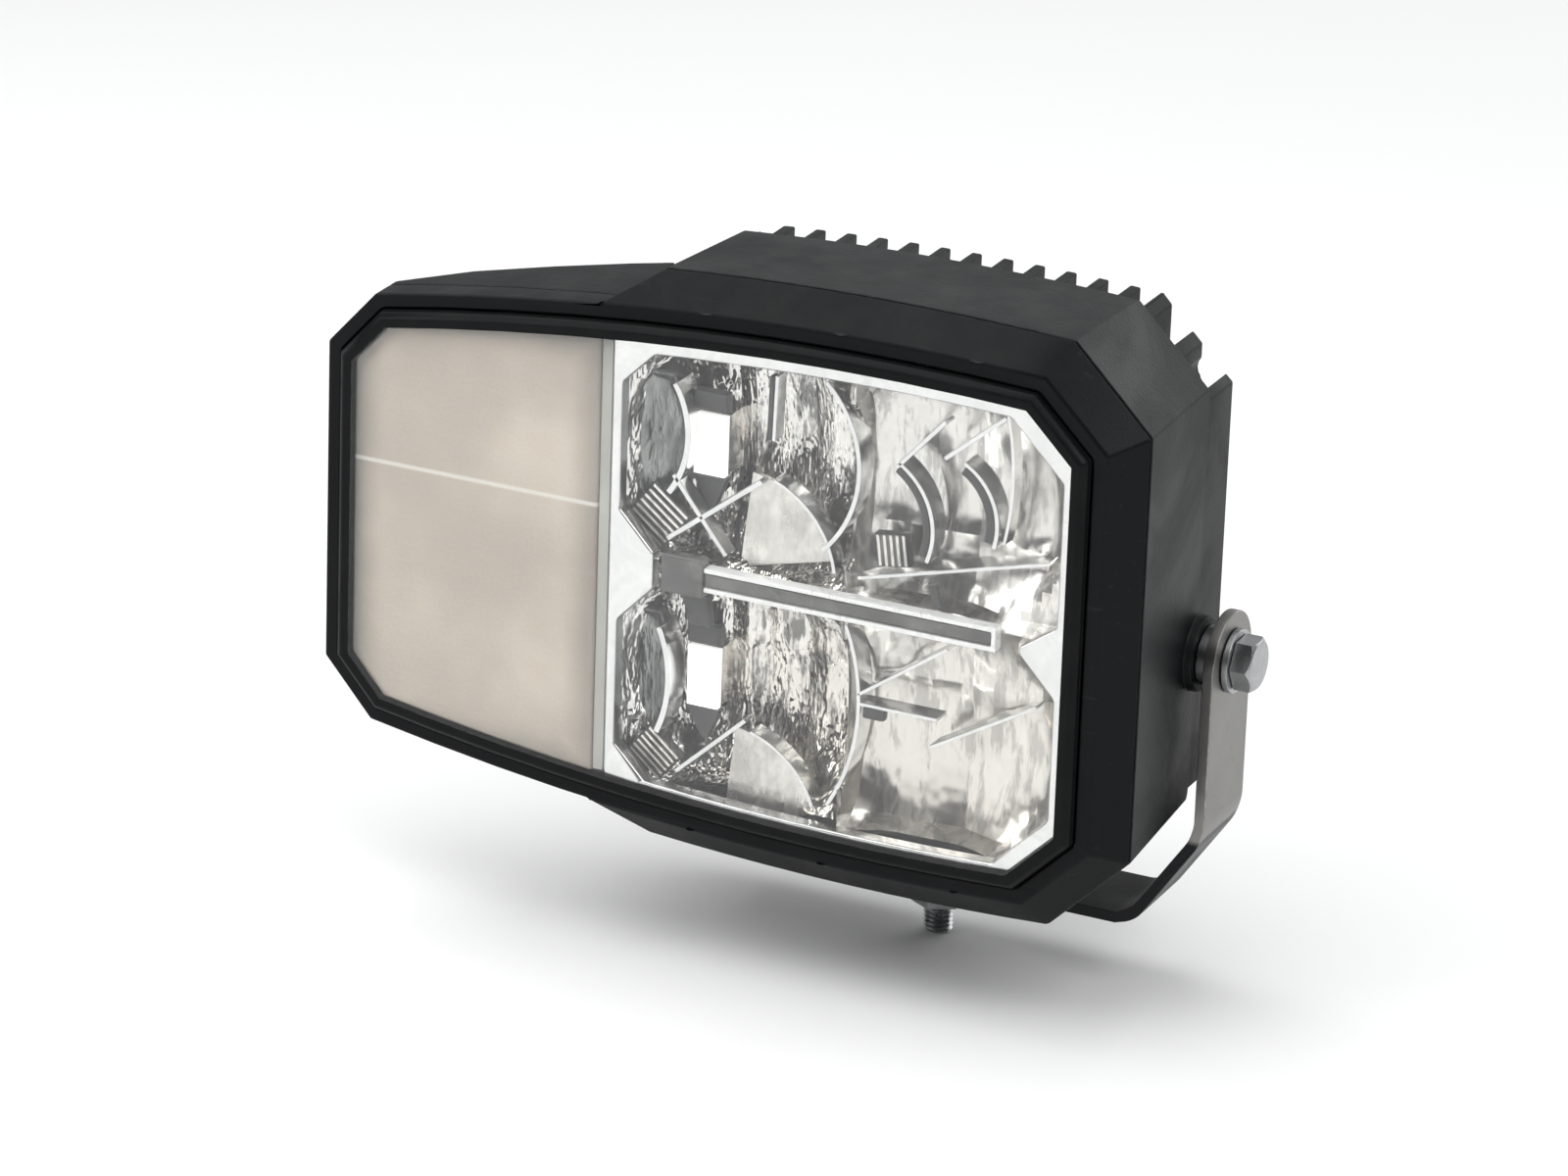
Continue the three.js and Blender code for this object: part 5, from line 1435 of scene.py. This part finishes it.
class LAMP_OT_stage(bpy.types.Operator):
    """Pale floor, soft lamps and the camera"""
    bl_idname = "lamp.stage"
    bl_label = "Make Stage"

    def execute(self, context):
        floor_z = CAD_BOX[0][2] - 0.2 * MM
        clear_selection()
        bpy.ops.mesh.primitive_plane_add(size=5.0, location=(0.0, 0.0, floor_z))
        floor = settle(added("studio_floor"))
        floor.data.materials.append(finish(studio_paper))
        self.lamp("overhead", (-0.30, -0.10, 1.15), (0.0, 0.0, 0.08), 1.5, 1.3, 13.0)
        self.lamp("left_fill", (-1.1, -1.0, 0.75), (0.0, 0.0, 0.08), 0.9, 0.9, 9.0)
        self.lamp("right_strip", (0.85, -0.50, 0.95), (0.0, 0.0, 0.1), 0.35, 0.9, 6.0)
        self.lamp("back_wall", (0.5, 1.5, 0.55), (0.0, 0.0, 0.1), 1.6, 0.8, 6.0)
        self.room(context.scene)
        self.camera(context.scene)
        return {"FINISHED"}

    @staticmethod
    def lamp(name, place, target, wide, tall, power):
        light = bpy.data.lights.new(name, "AREA")
        light.shape = "RECTANGLE"
        light.size, light.size_y, light.energy = wide, tall, power
        holder = bpy.data.objects.new(name, light)
        holder.location = place
        holder.rotation_euler = (Vector(target) - Vector(place)).to_track_quat("-Z", "Y").to_euler()
        bpy.context.scene.collection.objects.link(holder)

    @staticmethod
    def room(scene):
        """A plain room, brighter overhead and behind than in front."""
        world = bpy.data.worlds.new("Studio Room")
        world.use_nodes = True
        scene.world = world
        tree = world.node_tree
        spot = node(tree, "ShaderNodeSeparateXYZ",
                    {0: node(tree, "ShaderNodeTexCoord").outputs["Generated"]}).outputs
        toward = maths(tree, "ADD", spot["Z"], maths(tree, "MULTIPLY", spot["Y"], 0.8))
        colour = blend(tree, ramp_between(tree, toward, -0.55, 1.0),
                       (0.035, 0.036, 0.038), (0.58, 0.585, 0.59))
        tree.links.new(colour, tree.nodes["Background"].inputs["Color"])
        tree.nodes["Background"].inputs["Strength"].default_value = 0.9

    @staticmethod
    def camera(scene):
        azimuth, elevation, roll = (math.radians(v) for v in CAMERA_TURNS)
        out = Vector((math.sin(azimuth) * math.cos(elevation), -math.cos(azimuth) * math.cos(elevation),
                      math.sin(elevation)))
        level = Vector((math.cos(azimuth), math.sin(azimuth), 0.0))
        above = out.cross(level)
        right = level * math.cos(roll) + above * math.sin(roll)
        up = above * math.cos(roll) - level * math.sin(roll)
        lens = bpy.data.cameras.new("Camera")
        lens.lens, lens.sensor_width = CAMERA_LENS, CAMERA_SENSOR
        lens.clip_start, lens.clip_end = 0.05, 50.0
        holder = bpy.data.objects.new("Camera", lens)
        place = Matrix((right, up, out)).transposed().to_4x4()
        place.translation = Vector(CAMERA_AIM) + out * CAMERA_AWAY
        holder.matrix_world = place
        scene.collection.objects.link(holder)
        scene.camera = holder
        scene.view_settings.view_transform = "Standard"


STEPS = ("shell", "lens", "bright_frame", "reflectors", "ridges", "light_sources", "light_bar", "indicator",
         "bracket", "side_bolts", "foot", "inlet", "inner_parts", "stage")


class LAMP_PT_sidebar(bpy.types.Panel):
    """Lists the lamp's making steps with its sizes and colours"""
    bl_idname = "LAMP_PT_sidebar"
    bl_label = "Work Headlamp"
    bl_space_type = "VIEW_3D"
    bl_region_type = "UI"
    bl_category = "Headlamp"

    def draw(self, context):
        for group_name in ("lamp_sizes", "lamp_colours"):
            settings = getattr(context.scene, group_name)
            box = self.layout.box()
            for key in settings.__annotations__:
                box.prop(settings, key)
        column = self.layout.column()
        for step in STEPS:
            column.operator("lamp." + step)


CLASSES = (LampSizes, LampColours,
           LAMP_OT_shell, LAMP_OT_lens, LAMP_OT_bright_frame, LAMP_OT_reflectors,
           LAMP_OT_ridges, LAMP_OT_light_sources, LAMP_OT_light_bar, LAMP_OT_indicator, LAMP_OT_bracket,
           LAMP_OT_side_bolts, LAMP_OT_foot, LAMP_OT_inlet, LAMP_OT_inner_parts, LAMP_OT_stage,
           LAMP_PT_sidebar)


def register():
    for cls in CLASSES:
        bpy.utils.register_class(cls)
    bpy.types.Scene.lamp_sizes = PointerProperty(type=LampSizes)
    bpy.types.Scene.lamp_colours = PointerProperty(type=LampColours)


def unregister():
    del bpy.types.Scene.lamp_colours
    del bpy.types.Scene.lamp_sizes
    for cls in reversed(CLASSES):
        bpy.utils.unregister_class(cls)


def main():
    register()
    for step in STEPS:
        getattr(bpy.ops.lamp, step)()
    clear_selection()


if __name__ == "__main__":
    main()
